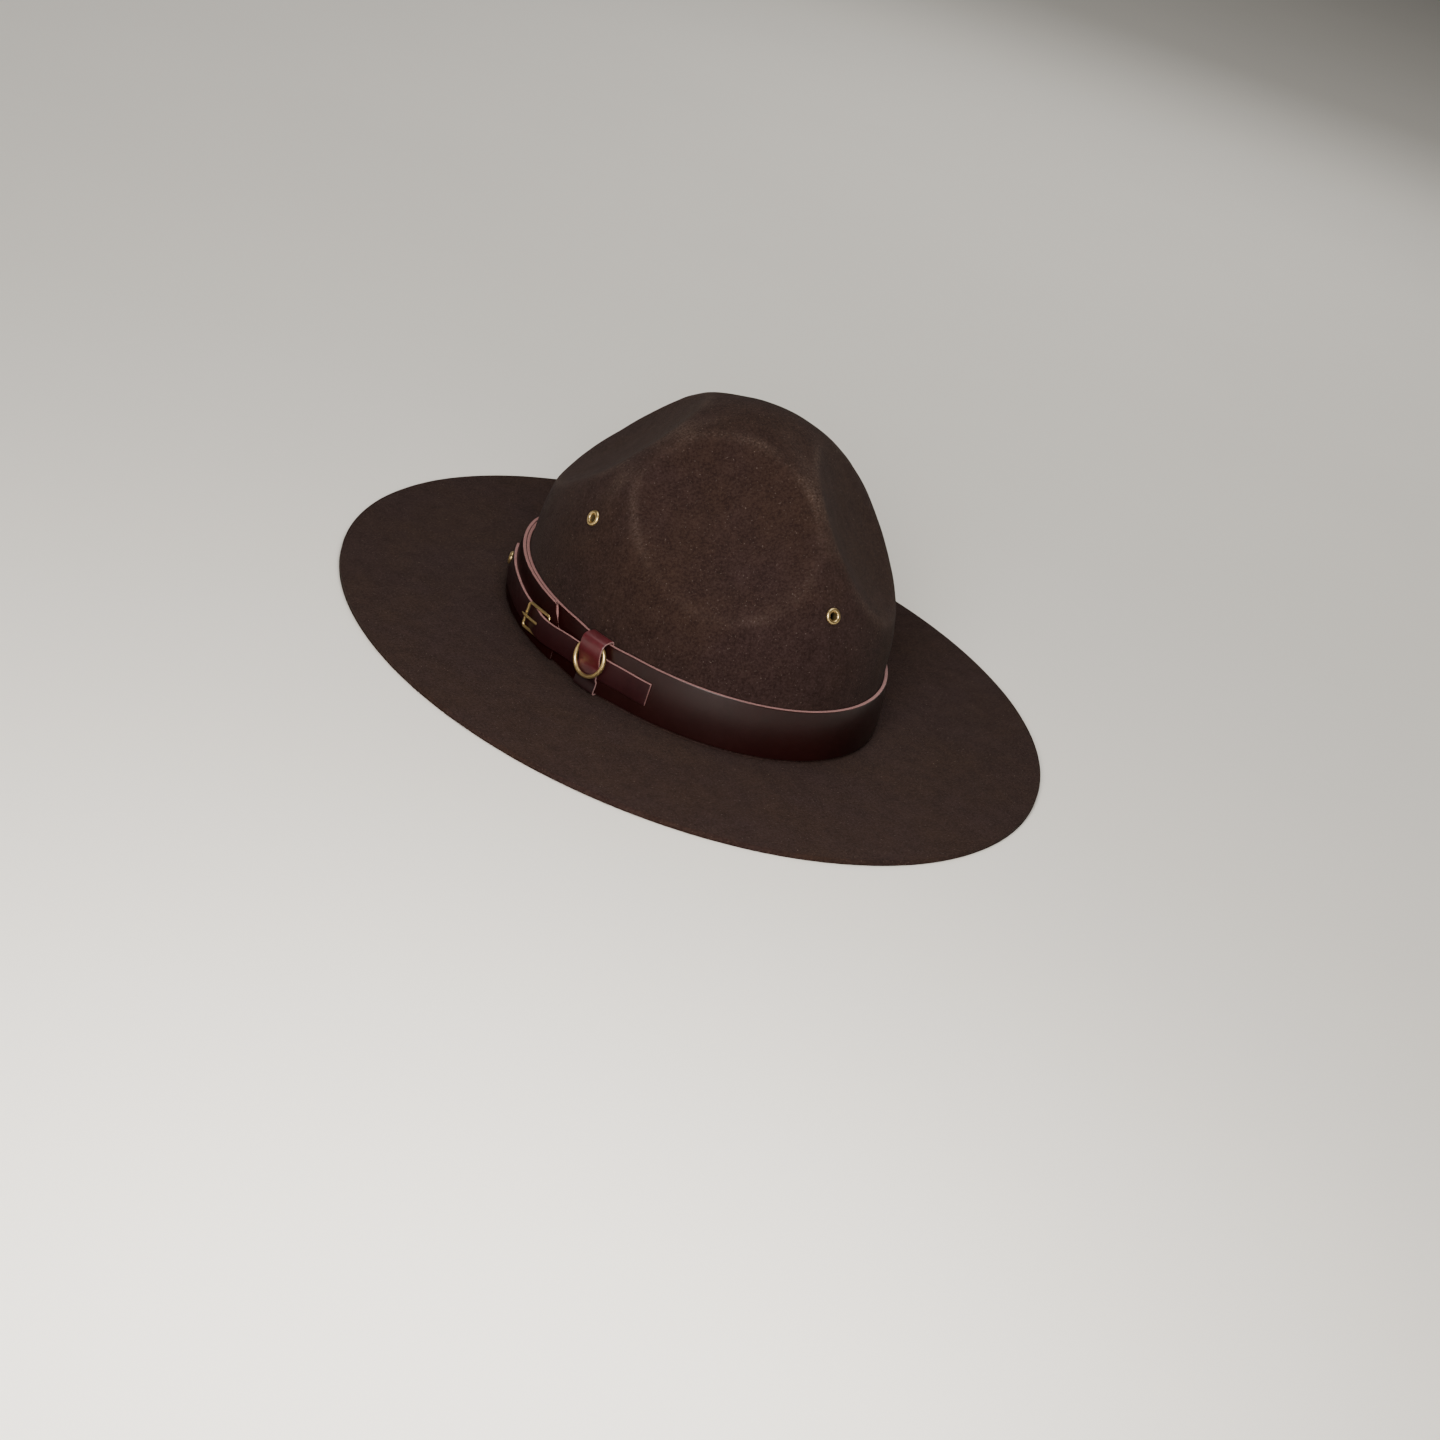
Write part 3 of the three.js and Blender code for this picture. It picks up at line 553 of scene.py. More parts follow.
def ramp(tree, value, low, high):
    """Maps low..high to 0..1, eased"""
    node = tree.nodes.new("ShaderNodeMapRange")
    node.interpolation_type = "SMOOTHSTEP"
    tree.links.new(value, node.inputs["Value"])
    node.inputs["From Min"].default_value = low
    node.inputs["From Max"].default_value = high
    return node.outputs["Result"]


def calculate(tree, operation, *values):
    node = tree.nodes.new("ShaderNodeMath")
    node.operation = operation
    for socket, value in zip(node.inputs, values):
        if isinstance(value, (int, float)):
            socket.default_value = value
        else:
            tree.links.new(value, socket)
    return node.outputs[0]


def blend_colours(tree, share, first, second, mode="MIX"):
    node = tree.nodes.new("ShaderNodeMix")
    node.data_type = "RGBA"
    node.blend_type = mode
    if isinstance(share, (int, float)):
        node.inputs["Factor"].default_value = share
    else:
        tree.links.new(share, node.inputs["Factor"])
    for label, value in (("A", first), ("B", second)):
        socket = next(s for s in node.inputs if s.name == label and s.type == "RGBA")
        if isinstance(value, bpy.types.NodeSocket):
            tree.links.new(value, socket)
        else:
            socket.default_value = (*value, 1.0)
    return next(s for s in node.outputs if s.type == "RGBA")


def cloudiness_group():
    """Clouds of tone at two sizes, shared by the felt, the leather, the brass and the floor"""
    name = "Cloudiness"
    if name in bpy.data.node_groups:
        return bpy.data.node_groups[name]
    group, given, result = shader_group(name, [
        ("Vector", "NodeSocketVector", None),
        ("Coarse", "NodeSocketFloat", 20.0),
        ("Fine", "NodeSocketFloat", 120.0),
    ], [("Value", "NodeSocketFloat")])
    place = given.outputs["Vector"]
    coarse = texture(group, "ShaderNodeTexNoise", place, given.outputs["Coarse"], Detail=4.0)
    fine = texture(group, "ShaderNodeTexNoise", place, given.outputs["Fine"], Detail=5.0)
    weaker = calculate(group, "MULTIPLY", fine.outputs["Fac"], 0.7)
    both = calculate(group, "ADD", coarse.outputs["Fac"], weaker)
    group.links.new(ramp(group, both, 0.6, 1.1), result.inputs["Value"])
    return group


def grain_group():
    """Height of a fine pebbled grain, shared by the leather pieces"""
    name = "Leather grain"
    if name in bpy.data.node_groups:
        return bpy.data.node_groups[name]
    group, given, result = shader_group(name, [
        ("Vector", "NodeSocketVector", None),
        ("Pebble", "NodeSocketFloat", 1500.0),
    ], [("Height", "NodeSocketFloat")])
    bent = texture(group, "ShaderNodeTexNoise", given.outputs["Vector"], 700.0, Detail=2.0)
    shift = group.nodes.new("ShaderNodeVectorMath")
    shift.operation = "MULTIPLY_ADD"
    group.links.new(bent.outputs["Color"], shift.inputs[0])
    shift.inputs[1].default_value = (0.0004, 0.0004, 0.0004)
    group.links.new(given.outputs["Vector"], shift.inputs[2])
    pebble = texture(group, "ShaderNodeTexVoronoi", shift.outputs[0], given.outputs["Pebble"],
                     feature="SMOOTH_F1")
    wave = texture(group, "ShaderNodeTexNoise", given.outputs["Vector"], 160.0, Detail=3.0)
    both = calculate(group, "ADD", calculate(group, "MULTIPLY", pebble.outputs["Distance"], 0.35),
                     wave.outputs["Fac"])
    group.links.new(both, result.inputs["Height"])
    return group


def place_group(tree, group, place, **values):
    node = tree.nodes.new("ShaderNodeGroup")
    node.node_tree = group
    tree.links.new(place, node.inputs["Vector"])
    for label, value in values.items():
        node.inputs[label].default_value = value
    return node


def new_material(name):
    material = bpy.data.materials.new(name)
    material.use_nodes = True
    tree = material.node_tree
    tree.nodes.clear()
    surface = tree.nodes.new("ShaderNodeBsdfPrincipled")
    output = tree.nodes.new("ShaderNodeOutputMaterial")
    tree.links.new(surface.outputs["BSDF"], output.inputs["Surface"])
    place = tree.nodes.new("ShaderNodeTexCoord").outputs["Object"]
    return material, tree, surface, place


def bump(tree, height, strength, distance, surface, below=None):
    node = tree.nodes.new("ShaderNodeBump")
    node.inputs["Strength"].default_value = strength
    node.inputs["Distance"].default_value = distance
    tree.links.new(height, node.inputs["Height"])
    if below is not None:
        tree.links.new(below, node.inputs["Normal"])
    tree.links.new(node.outputs["Normal"], surface.inputs["Normal"])
    return node.outputs["Normal"]


def attribute(tree, name):
    node = tree.nodes.new("ShaderNodeAttribute")
    node.attribute_name = name
    return node.outputs["Fac"]


def felt_material():
    """Napped felt: a fine mottle of two browns under a cooler cloud, brushed rims and ridges made paler still
    as a painted highlight, and single light fibres
    """
    colours = bpy.context.scene.hat_colours
    material, tree, surface, place = new_material("felt")
    clouds = place_group(tree, cloudiness_group(), place, Coarse=13.0, Fine=40.0).outputs["Value"]
    mottle = texture(tree, "ShaderNodeTexNoise", place, 820.0, Detail=4.0, Roughness=0.75)
    patches = texture(tree, "ShaderNodeTexNoise", place, 130.0, Detail=4.0, Roughness=0.6)
    speckle = texture(tree, "ShaderNodeTexNoise", place, 1100.0, Detail=2.0, Roughness=0.6)
    wide = calculate(tree, "MULTIPLY", ramp(tree, patches.outputs["Fac"], 0.2, 0.8), 0.35)
    narrow = calculate(tree, "MULTIPLY", ramp(tree, mottle.outputs["Fac"], 0.34, 0.66), 0.65)
    tone = calculate(tree, "ADD", wide, narrow)
    pale = blend_colours(tree, clouds, tuple(colours.felt_light), tuple(colours.felt_cool))
    body = blend_colours(tree, tone, tuple(colours.felt_dark), pale)
    uneven = texture(tree, "ShaderNodeTexNoise", place, 30.0, Detail=2.0)
    patchy = calculate(tree, "MULTIPLY", ramp(tree, speckle.outputs["Fac"], 0.25, 0.75),
                       calculate(tree, "MULTIPLY", ramp(tree, uneven.outputs["Fac"], 0.25, 0.8), 0.75))
    # Painted highlight together with brushed nap: rims and ridges are lightened in patches.
    brushed_and_lit = calculate(tree, "MULTIPLY", attribute(tree, "brushed_and_lit"), patchy)
    felt_with_lit_rims = blend_colours(tree, brushed_and_lit, body, tuple(colours.felt_brushed_highlight))
    fibres = calculate(tree, "MULTIPLY", ramp(tree, speckle.outputs["Fac"], 0.66, 0.78), 0.4)
    tree.links.new(blend_colours(tree, fibres, felt_with_lit_rims, tuple(colours.felt_fibre)), surface.inputs["Base Color"])
    surface.inputs["Roughness"].default_value = 0.95
    surface.inputs["Specular IOR Level"].default_value = 0.06
    surface.inputs["Sheen Weight"].default_value = 0.05
    surface.inputs["Sheen Roughness"].default_value = 0.5
    surface.inputs["Sheen Tint"].default_value = (0.62, 0.5, 0.45, 1.0)
    nap = texture(tree, "ShaderNodeTexNoise", place, 1500.0, Detail=4.0, Roughness=0.75)
    lumps = texture(tree, "ShaderNodeTexNoise", place, 260.0, Detail=3.0)
    first = bump(tree, lumps.outputs["Fac"], 0.3, 0.0005, surface)
    bump(tree, nap.outputs["Fac"], 0.7, 0.0004, surface, first)
    return material


def leather_material(name, face, roughness, shine, painted_shade_below=0.0, dull_front=False):
    """Polished leather, raw where the raw_edge value is high, with painted shade below a height, or duller to
    the front
    """
    colours = bpy.context.scene.hat_colours
    material, tree, surface, place = new_material(name)
    raw = attribute(tree, "raw_edge")
    clouds = place_group(tree, cloudiness_group(), place, Coarse=45.0, Fine=420.0).outputs["Value"]
    darker = tuple(0.75 * part for part in face)
    skin = blend_colours(tree, clouds, darker, face)
    parts = tree.nodes.new("ShaderNodeSeparateXYZ")
    tree.links.new(place, parts.inputs["Vector"])
    # Painted shade: below the given height the face turns nearly black, standing in for the shade on the
    # piece's lower part.
    if painted_shade_below > 0:
        above = ramp(tree, parts.outputs["Z"], painted_shade_below - 0.003, painted_shade_below + 0.006)
        skin = blend_colours(tree, above, tuple(0.12 * part for part in face), skin)
    fibre = texture(tree, "ShaderNodeTexNoise", place, 2600.0, Detail=3.0, Roughness=0.7)
    tan = blend_colours(tree, ramp(tree, fibre.outputs["Fac"], 0.35, 0.7),
                        tuple(0.5 * part for part in colours.raw_edge), tuple(colours.raw_edge))
    ragged = calculate(tree, "ADD", raw, calculate(tree, "MULTIPLY", fibre.outputs["Fac"], 0.35))
    cut = ramp(tree, ragged, 0.5, 0.8)
    tree.links.new(blend_colours(tree, cut, skin, tan), surface.inputs["Base Color"])
    grain = place_group(tree, grain_group(), place).outputs["Height"]
    finish = calculate(tree, "ADD", roughness, calculate(tree, "MULTIPLY", clouds, 0.04))
    tree.links.new(calculate(tree, "ADD", finish, calculate(tree, "MULTIPLY", cut, 0.45)),
                   surface.inputs["Roughness"])
    if dull_front:
        polish = calculate(tree, "MULTIPLY", ramp(tree, parts.outputs["Y"], 0.01, 0.06), 0.9 * shine)
        tree.links.new(calculate(tree, "ADD", polish, 0.1 * shine), surface.inputs["Specular IOR Level"])
    else:
        surface.inputs["Specular IOR Level"].default_value = shine
    bump(tree, grain, 0.1, 0.0003, surface)
    return material


def brass_material():
    colours = bpy.context.scene.hat_colours
    material, tree, surface, place = new_material("brass")
    clouds = place_group(tree, cloudiness_group(), place, Coarse=180.0, Fine=900.0).outputs["Value"]
    tree.links.new(blend_colours(tree, clouds, tuple(colours.brass), tuple(colours.brass_dull)),
                   surface.inputs["Base Color"])
    surface.inputs["Metallic"].default_value = 1.0
    tree.links.new(calculate(tree, "ADD", 0.16, calculate(tree, "MULTIPLY", clouds, 0.14)),
                   surface.inputs["Roughness"])
    scratches = texture(tree, "ShaderNodeTexNoise", place, 2400.0, Detail=3.0)
    bump(tree, scratches.outputs["Fac"], 0.08, 0.0001, surface)
    return material


def finish_piece(piece, material, slot, *nodes):
    """Dresses a piece, has it stand for its CAD nodes and fixes it to the hat"""
    piece.data.materials.clear()
    piece.data.materials.append(material)
    shade_smooth(piece)
    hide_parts(*nodes)
    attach(piece, "root")


# Felt

def crown_line(count):
    """Half width, half length and height of the undented crown, from its peak to the band's top"""
    felt, _, _ = sizes()
    _, top = band_levels()
    points = [(
        row["side"] * felt.crown_width / 2,
        row["end"] * felt.crown_length / 2,
        top + row["height"] * (felt.crown_height - top),
    ) for row in CROWN_SECTIONS]
    return soften(curve_through(points, count), 12)


def dent_planes():
    """Direction of each dent and the distance of its rim plane from the middle of the ground"""
    felt, _, _ = sizes()
    level = math.cos(felt.dent_tilt)
    across = math.cos(felt.dent_turn) * level
    along = math.sin(felt.dent_turn) * level
    up = math.sin(felt.dent_tilt)
    line = crown_line(200)
    farthest = float(np.max(np.hypot(line[:, 0] * across, line[:, 1] * along) + line[:, 2] * up))
    corners = [(side, end) for side in (1.0, -1.0) for end in (1.0, -1.0)]
    dents = [(side, end, (side * across, end * along, up)) for side, end in corners]
    return dents, farthest - felt.dent_depth


def felt_sheet():
    """Outer face of the felt before the dents, and how much of each point belongs to the crown"""
    felt, _, _ = sizes()
    turns = np.linspace(0, 2 * math.pi, felt.columns, endpoint=False)
    loops = []
    line = crown_line(felt.crown_rows)
    loops.extend(tuple(row) for row in line[1:])
    foot_side = felt.crown_width / 2 + felt.wall_flare
    foot_end = felt.crown_length / 2 + felt.wall_flare
    _, top = band_levels()
    fold_top = felt.felt + felt.brim_break
    for height in np.linspace(top, fold_top, 9)[1:]:
        share = (top - height) / (top - felt.felt)
        loops.append((felt.crown_width / 2 + felt.wall_flare * share,
                      felt.crown_length / 2 + felt.wall_flare * share, height))
    for bend in np.radians(np.linspace(180, 270, 6)):
        out = felt.brim_break * (1 + math.cos(bend))
        loops.append((foot_side + out, foot_end + out, fold_top + felt.brim_break * math.sin(bend)))
    for out in np.linspace(felt.brim_break, felt.brim_width, felt.brim_rows)[1:]:
        loops.append((foot_side + out, foot_end + out, felt.felt))
    loops = np.array(loops)
    points = np.stack([
        loops[:, 0, None] * np.cos(turns)[None],
        loops[:, 1, None] * np.sin(turns)[None],
        np.repeat(loops[:, 2, None], felt.columns, axis=1),
    ], axis=2)
    faces = []
    count = felt.columns
    for row in range(len(loops) - 1):
        for column in range(count):
            beside = (column + 1) % count
            faces.append((row * count + column, (row + 1) * count + column,
                          (row + 1) * count + beside, row * count + beside))
    vertices = np.vstack([points.reshape(-1, 3), [[0, 0, line[0][2]]]])
    peak = len(vertices) - 1
    faces.extend((peak, column, (column + 1) % count) for column in range(count))
    dome = vertices.copy()
    dome[(len(line) - 1) * count:peak] = 0.0
    return vertices, faces, dome


def press_tree():
    """Presses one dent of the dome back through its rim plane"""
    tree, given, result = new_tree("Press dent", [
        ("Side", "NodeSocketFloat", 1.0),
        ("End", "NodeSocketFloat", 1.0),
        ("Turn", "NodeSocketFloat", 0.65),
        ("Tilt", "NodeSocketFloat", 0.67),
        ("Reach", "NodeSocketFloat", 0.1),
        ("Press", "NodeSocketFloat", 1.6),
        ("Rounding", "NodeSocketFloat", 0.002),
        ("Material", "NodeSocketMaterial", None),
    ])

    def vectors(operation, first, second):
        node = tree.nodes.new("ShaderNodeVectorMath")
        node.operation = operation
        tree.links.new(first, node.inputs[0])
        label = "Scale" if operation == "SCALE" else 1
        tree.links.new(second, node.inputs[label])
        return node.outputs["Value" if operation == "DOT_PRODUCT" else "Vector"]

    outwards = tree.nodes.new("ShaderNodeCombineXYZ")
    level = calculate(tree, "COSINE", given.outputs["Tilt"])
    for axis, wave, side in (("X", "COSINE", "Side"), ("Y", "SINE", "End")):
        part = calculate(tree, "MULTIPLY", calculate(tree, wave, given.outputs["Turn"]), level)
        tree.links.new(calculate(tree, "MULTIPLY", given.outputs[side], part), outwards.inputs[axis])
    tree.links.new(calculate(tree, "SINE", given.outputs["Tilt"]), outwards.inputs["Z"])
    dome = tree.nodes.new("GeometryNodeInputNamedAttribute")
    dome.data_type = "FLOAT_VECTOR"
    dome.inputs["Name"].default_value = "dome"
    reach = vectors("DOT_PRODUCT", dome.outputs["Attribute"], outwards.outputs[0])
    beyond = calculate(tree, "SUBTRACT", reach, given.outputs["Reach"])
    rounding = given.outputs["Rounding"]
    squares = [calculate(tree, "MULTIPLY", value, value) for value in (beyond, rounding)]
    root = calculate(tree, "SQRT", calculate(tree, "ADD", *squares))
    pressed = calculate(tree, "MULTIPLY", calculate(tree, "ADD", beyond, root), 0.5)
    inwards = calculate(tree, "MULTIPLY", calculate(tree, "MULTIPLY", pressed, given.outputs["Press"]), -1.0)
    move = tree.nodes.new("GeometryNodeSetPosition")
    tree.links.new(given.outputs["Geometry"], move.inputs["Geometry"])
    tree.links.new(vectors("SCALE", outwards.outputs[0], inwards), move.inputs["Offset"])
    end_tree(tree, given, result, move.outputs["Geometry"])
    return tree


def rim_highlight_values(dome):
    """How strongly each point is lightened, partly as brushed nap and partly as painted highlight: at dent
    rims and along the ridges between dents
    """
    _, top = band_levels()
    dents, reach = dent_planes()
    values = np.zeros(len(dome))
    nearest = []
    for _, _, outwards in dents:
        beyond = dome @ np.array(outwards) - reach
        nearest.append(beyond)
        values = np.maximum(values, np.exp(-((beyond + RIM_INSET) / RIM_WIDTH) ** 2))
    nearest = np.sort(np.array(nearest), axis=0)
    between = np.exp(-((nearest[-1] - nearest[-2]) / RIDGE_WIDTH) ** 2)
    ridge = between * np.clip((nearest[-1] + 0.012) / 0.01, 0, 1)
    above = np.clip((dome[:, 2] - top - 0.004) / 0.02, 0, 1)
    return np.clip(0.8 * values * above + 0.9 * ridge * above, 0, 1)


class HAT_OT_felt(bpy.types.Operator):
    """Build the felt crown and brim"""

    bl_idname = "hat.felt"
    bl_label = "Felt crown and brim"

    def execute(self, context):
        felt, _, _ = sizes()
        _, top = band_levels()
        vertices, faces, dome = felt_sheet()
        piece = new_piece("felt", vertices, faces)
        stored = piece.data.attributes.new("dome", "FLOAT_VECTOR", "POINT")
        stored.data.foreach_set("vector", dome.astype(np.float32).ravel())
        # Mask for brushed nap and painted highlight along dent rims and ridges.
        add_values(piece, "brushed_and_lit", rim_highlight_values(dome))
        tree = press_tree()
        material = felt_material()
        dents, reach = dent_planes()
        for side, end, _ in dents:
            run_tree(piece, tree, {
                "Side": side, "End": end, "Turn": felt.dent_turn, "Tilt": felt.dent_tilt,
                "Reach": reach, "Press": felt.dent_press, "Rounding": felt.dent_rounding,
                "Material": material,
            })
        self.make_uneven(piece, top)
        self.cut_eyelets(piece)
        wall = piece.modifiers.new("Wall", "SOLIDIFY")
        wall.thickness = felt.felt
        wall.offset = -1.0
        edge = piece.modifiers.new("Edge", "BEVEL")
        edge.width = felt.edge_round
        edge.segments = 3
        edge.limit_method = "ANGLE"
        edge.angle_limit = math.radians(60)
        plain(piece)
        finish_piece(piece, material, "felt", "felt_body")
        return {"FINISHED"}

    def make_uneven(self, piece, top):
        """Gives the felt the slight waves of a hand-shaped hat"""
        felt, _, _ = sizes()
        count = len(piece.data.vertices)
        places = np.zeros(count * 3, np.float32)
        normals = np.zeros(count * 3, np.float32)
        piece.data.vertices.foreach_get("co", places)
        piece.data.vertex_normals.foreach_get("vector", normals)
        places, normals = places.reshape(-1, 3), normals.reshape(-1, 3)
        waves = np.array([noise.noise(Vector(p) * WAVES) + 0.5 * noise.noise(Vector(p) * RIPPLES)
                          for p in places])
        crown = np.clip((places[:, 2] - top) / 0.02, 0.0, 1.0)
        places += normals * (felt.unevenness * crown * waves)[:, None]
        from_foot = np.hypot(places[:, 0] / felt.crown_width, places[:, 1] / felt.crown_length) * 2
        brim = np.clip((from_foot - 1.15) / 0.3, 0.0, 1.0) * (places[:, 2] < top / 2)
        swell = np.array([noise.noise(Vector(p) * BRIM_WAVES) for p in places])
        places[:, 2] += 0.5 * felt.unevenness * brim * swell
        piece.data.vertices.foreach_set("co", places.ravel())
        piece.data.update()

    def cut_eyelets(self, piece):
        """Opens a round hole for each eyelet in the sheet, hidden under the eyelet's rim"""
        _, _, brass = sizes()
        clear = brass.eyelet_hole / 2 + 0.0003
        edge = (brass.eyelet_hole + brass.eyelet_outer) / 4
        form = bmesh.new()
        form.from_mesh(piece.data)
        for turn in range(4):
            place = eyelet_place(turn * math.pi / 2)
            middle, out = place.translation, place.to_3x3().col[2]
            near = [v for v in form.verts if (v.co - middle).length < clear]
            ring = {v for v in near for e in v.link_edges for v in e.verts} - set(near)
            corners = {v for near_one in near for f in near_one.link_faces for v in f.verts} - set(near)
            bmesh.ops.delete(form, geom=near, context="VERTS")
            for vertex in ring | corners:
                offset = vertex.co - middle
                height = offset.dot(out)
                level = offset - out * height
                vertex.co = middle + level.normalized() * edge + out * height
        form.to_mesh(piece.data)
        form.free()


def crown_point(side, end, height, turn):
    """A point of the dented crown from its undented section and a turn"""
    felt, _, _ = sizes()
    dome = Vector((side * math.cos(turn), end * math.sin(turn), height))
    point = dome.copy()
    dents, reach = dent_planes()
    for _, _, outwards in dents:
        beyond = dome.dot(Vector(outwards)) - reach
        pressed = (beyond + math.hypot(beyond, felt.dent_rounding)) / 2
        point -= Vector(outwards) * (felt.dent_press * pressed)
    return point


def eyelet_place(turn):
    """Place on the crown for an eyelet, z pointing out of the felt"""
    _, _, brass = sizes()
    line = crown_line(400)
    row = int(np.argmin(np.abs(line[:, 2] - brass.eyelet_height)))
    here = crown_point(*line[row], turn)
    down = crown_point(*line[row + 2], turn) - crown_point(*line[row - 2], turn)
    step = 0.004
    across = crown_point(*line[row], turn + step) - crown_point(*line[row], turn - step)
    out = down.cross(across).normalized()
    level = across.normalized()
    return set_axes(level, out.cross(level), out, here)


# Leather

def leather_section(width, thickness, rounding, bulge):
    """Section of a strip of leather as (across, depth, raw) rows: up its outer face, down its inner one"""
    rounding = min(rounding, thickness * 0.45)
    half = width / 2
    section = [(share * (half - rounding), thickness + bulge * (1 - share * share), 0.0)
               for share in (-0.96, -0.8, -0.55, -0.28, 0.0, 0.28, 0.55, 0.8, 0.96)]

    def corner(side, inner, bends):
        """One rounded corner, raw where it faces up or down the wall; the edge at negative across, the lower
        one on band and strap, gets only about a third of the raw tone as painted shade
        """
        across, depth = side * (half - rounding), (rounding if inner else thickness - rounding)
        for bend in np.radians(bends):
            facing = max(0.0, (abs(math.cos(bend)) - 0.55) / 0.45)
            # On the edge at negative across the raw tone is cut to 0.35: painted shade.
            section.append((across + rounding * math.cos(bend), depth + rounding * math.sin(bend),
                            facing * (1.0 if side > 0 else 0.35)))

    corner(1, False, (90, 60, 30, 0))
    section.append((half, thickness / 2, 1.0))
    corner(1, True, (0, -30, -60, -90))
    section.extend((share * (half - rounding), 0.0, 0.0) for share in (0.96, 0.0, -0.96))
    corner(-1, True, (270, 240, 210, 180))
    # Edge at negative across at about a third of the raw tone: painted shade.
    section.append((-half, thickness / 2, 0.35))
    corner(-1, False, (180, 150, 120, 90))
    return section


def strip_of_leather(name, turns, section, middle_at, face_at, shift_at, raw_above):
    """A strip along the wall. Its ends are rounded, and raw above a height as its edges are."""
    thickness = max(row[1] for row in section)
    loops, raw = [], []
    for index, turn in enumerate(turns):
        from_end = min(index, len(turns) - 1 - index)
        tuck = END_TUCK.get(from_end, 0.0)
        loop = []
        for across, depth, value in section:
            height = middle_at(turn) + across
            there = turn + shift_at(index, height)
            drawn = mix(depth, thickness / 2, tuck)
            loop.append(wall_point(there, height, face_at(there) + drawn))
            raw.append(max(value, END_RAW.get(from_end, 0.0)) if height > raw_above else value)
        loops.append(loop)
    vertices, faces = loft(loops, False)
    piece = new_piece(name, vertices, faces)
    add_values(piece, "raw_edge", raw + [1.0, 1.0])
    face_outwards(piece)
    return piece


def spread(start, stop, step, ends):
    """Turns from start to stop with a few close steps at both ends"""
    sign = 1 if stop > start else -1
    count = max(int(abs(stop - start) / step), 4)
    middle = np.linspace(start + sign * ends * 2.4, stop - sign * ends * 2.4, count)
    return [start, start + sign * ends * 0.35, start + sign * ends, *middle,
            stop - sign * ends, stop - sign * ends * 0.35, stop]


class HAT_OT_band(bpy.types.Operator):
    """Build the leather hat band"""

    bl_idname = "hat.band"
    bl_label = "Hat band"

    def execute(self, context):
        _, leather, _ = sizes()
        rate = turn_per_metre(leather.band_outer_end)
        close = leather.edge_round * rate
        turns = spread(leather.band_outer_end, leather.band_inner_end - 2 * math.pi, math.radians(1.2), close)

        def face_at(turn):
            if turn < leather.band_outer_end - math.pi:
                return leather.gap + keeper_lift(turn + 2 * math.pi)
            return outer_layer_face(turn)

        def shift_at(index, height):
            share = (height - leather.band_foot) / leather.band_height
            setback = read_table(BAND_END, "height", share, "setback") * leather.band_height * rate
            return -setback * max(0.0, 1 - index / SLANT_STEPS)

        section = leather_section(leather.band_height, leather.band_leather, leather.edge_round,
                                  leather.band_bulge)
        middle = leather.band_foot + leather.band_height / 2
        piece = strip_of_leather("band", turns, section, lambda turn: middle, face_at, shift_at, middle)
        colours = context.scene.hat_colours
        material = leather_material("band_leather", tuple(colours.band), 0.28, 0.35, dull_front=True)
        finish_piece(piece, material, "band_leather", "hat_band")
        return {"FINISHED"}


class HAT_OT_strap(bpy.types.Operator):
    """Build the narrow strap that is laid on the band"""

    bl_idname = "hat.strap"
    bl_label = "Strap"

    def execute(self, context):
        _, leather, _ = sizes()
        close = leather.edge_round * turn_per_metre(leather.strap_tip)
        turns = spread(leather.strap_tip, leather.strap_front, math.radians(0.55), close)
        section = leather_section(leather.strap_width, leather.strap_leather, leather.narrow_round,
                                  leather.strap_bulge)
        piece = strip_of_leather("strap", turns, section, strap_height, strap_face,
                                 lambda index, height: 0.0, 0.0)
        colours = context.scene.hat_colours
        material = leather_material("strap_leather", tuple(colours.strap), 0.38, 0.24)
        finish_piece(piece, material, "band_leather", "buckle_strap")
        return {"FINISHED"}


class HAT_OT_chape(bpy.types.Operator):
    """Build the fold of leather that holds the buckle's heel bar"""

    bl_idname = "hat.chape"
    bl_label = "Chape"

    def execute(self, context):
        _, leather, brass = sizes()
        heel, heel_out, _, _, chape_outer = buckle_places()
        rate = turn_per_metre(heel)
        eye = brass.buckle_wire / 2 + leather.gap
        radius = eye + leather.chape_leather / 2
        low = heel_out - radius
        line = [(leather.chape_length, low), (leather.chape_length * 0.5, low), (chape_outer, low)]
        for bend in np.radians(np.linspace(270, 45, 12)):
            line.append((radius * math.cos(bend), heel_out + radius * math.sin(bend)))
        upper = low + leather.chape_leather + leather.gap / 3
        back_over = (chape_outer * 1.7, leather.chape_length * 0.5, leather.chape_length)
        line += [(along, upper) for along in back_over]
        path = soften(curve_through(line, 60), 4)
        half = leather.chape_leather / 2
        width = leather.chape_width / 2
        loops = []
        middle = strap_height(brass.buckle_turn)
        for index, (along, out) in enumerate(path):
            before, after = path[max(index - 1, 0)], path[min(index + 1, len(path) - 1)]
            forward = Vector((after[0] - before[0], after[1] - before[1])).normalized()
            side = Vector((-forward.y, forward.x)) * half
            loop = []
            for rise, ply in ((-width, -1), (width, -1), (width, 1), (-width, 1)):
                turn = heel + (along + side.x * ply) * rate
                loop.append(wall_point(turn, middle + rise, out + side.y * ply + keeper_lift(turn)))
            loops.append(loop)
        piece = new_piece("chape", *loft(loops, False))
        add_values(piece, "raw_edge", [0.3] * len(piece.data.vertices))
        face_outwards(piece)
        colours = context.scene.hat_colours
        material = leather_material("chape_leather", tuple(colours.strap), 0.45, 0.3)
        finish_piece(piece, material, "band_leather", "buckle_chape")
        return {"FINISHED"}


def ring_places():
    """Height, radius and levels of the ring's top and foot"""
    _, leather, brass = sizes()
    band = keeper_room() + single_layer()
    strap = band + leather.gap + leather.strap_leather
    height = leather.band_foot + 0.63 * leather.band_height
    radius = (brass.ring_outer - brass.ring_wire) / 2
    top_out = strap + leather.gap + brass.ring_wire / 2
    foot_out = strap + 3 * leather.gap + leather.keeper_leather + brass.ring_wire / 2
    return height, radius, top_out, foot_out, band, strap


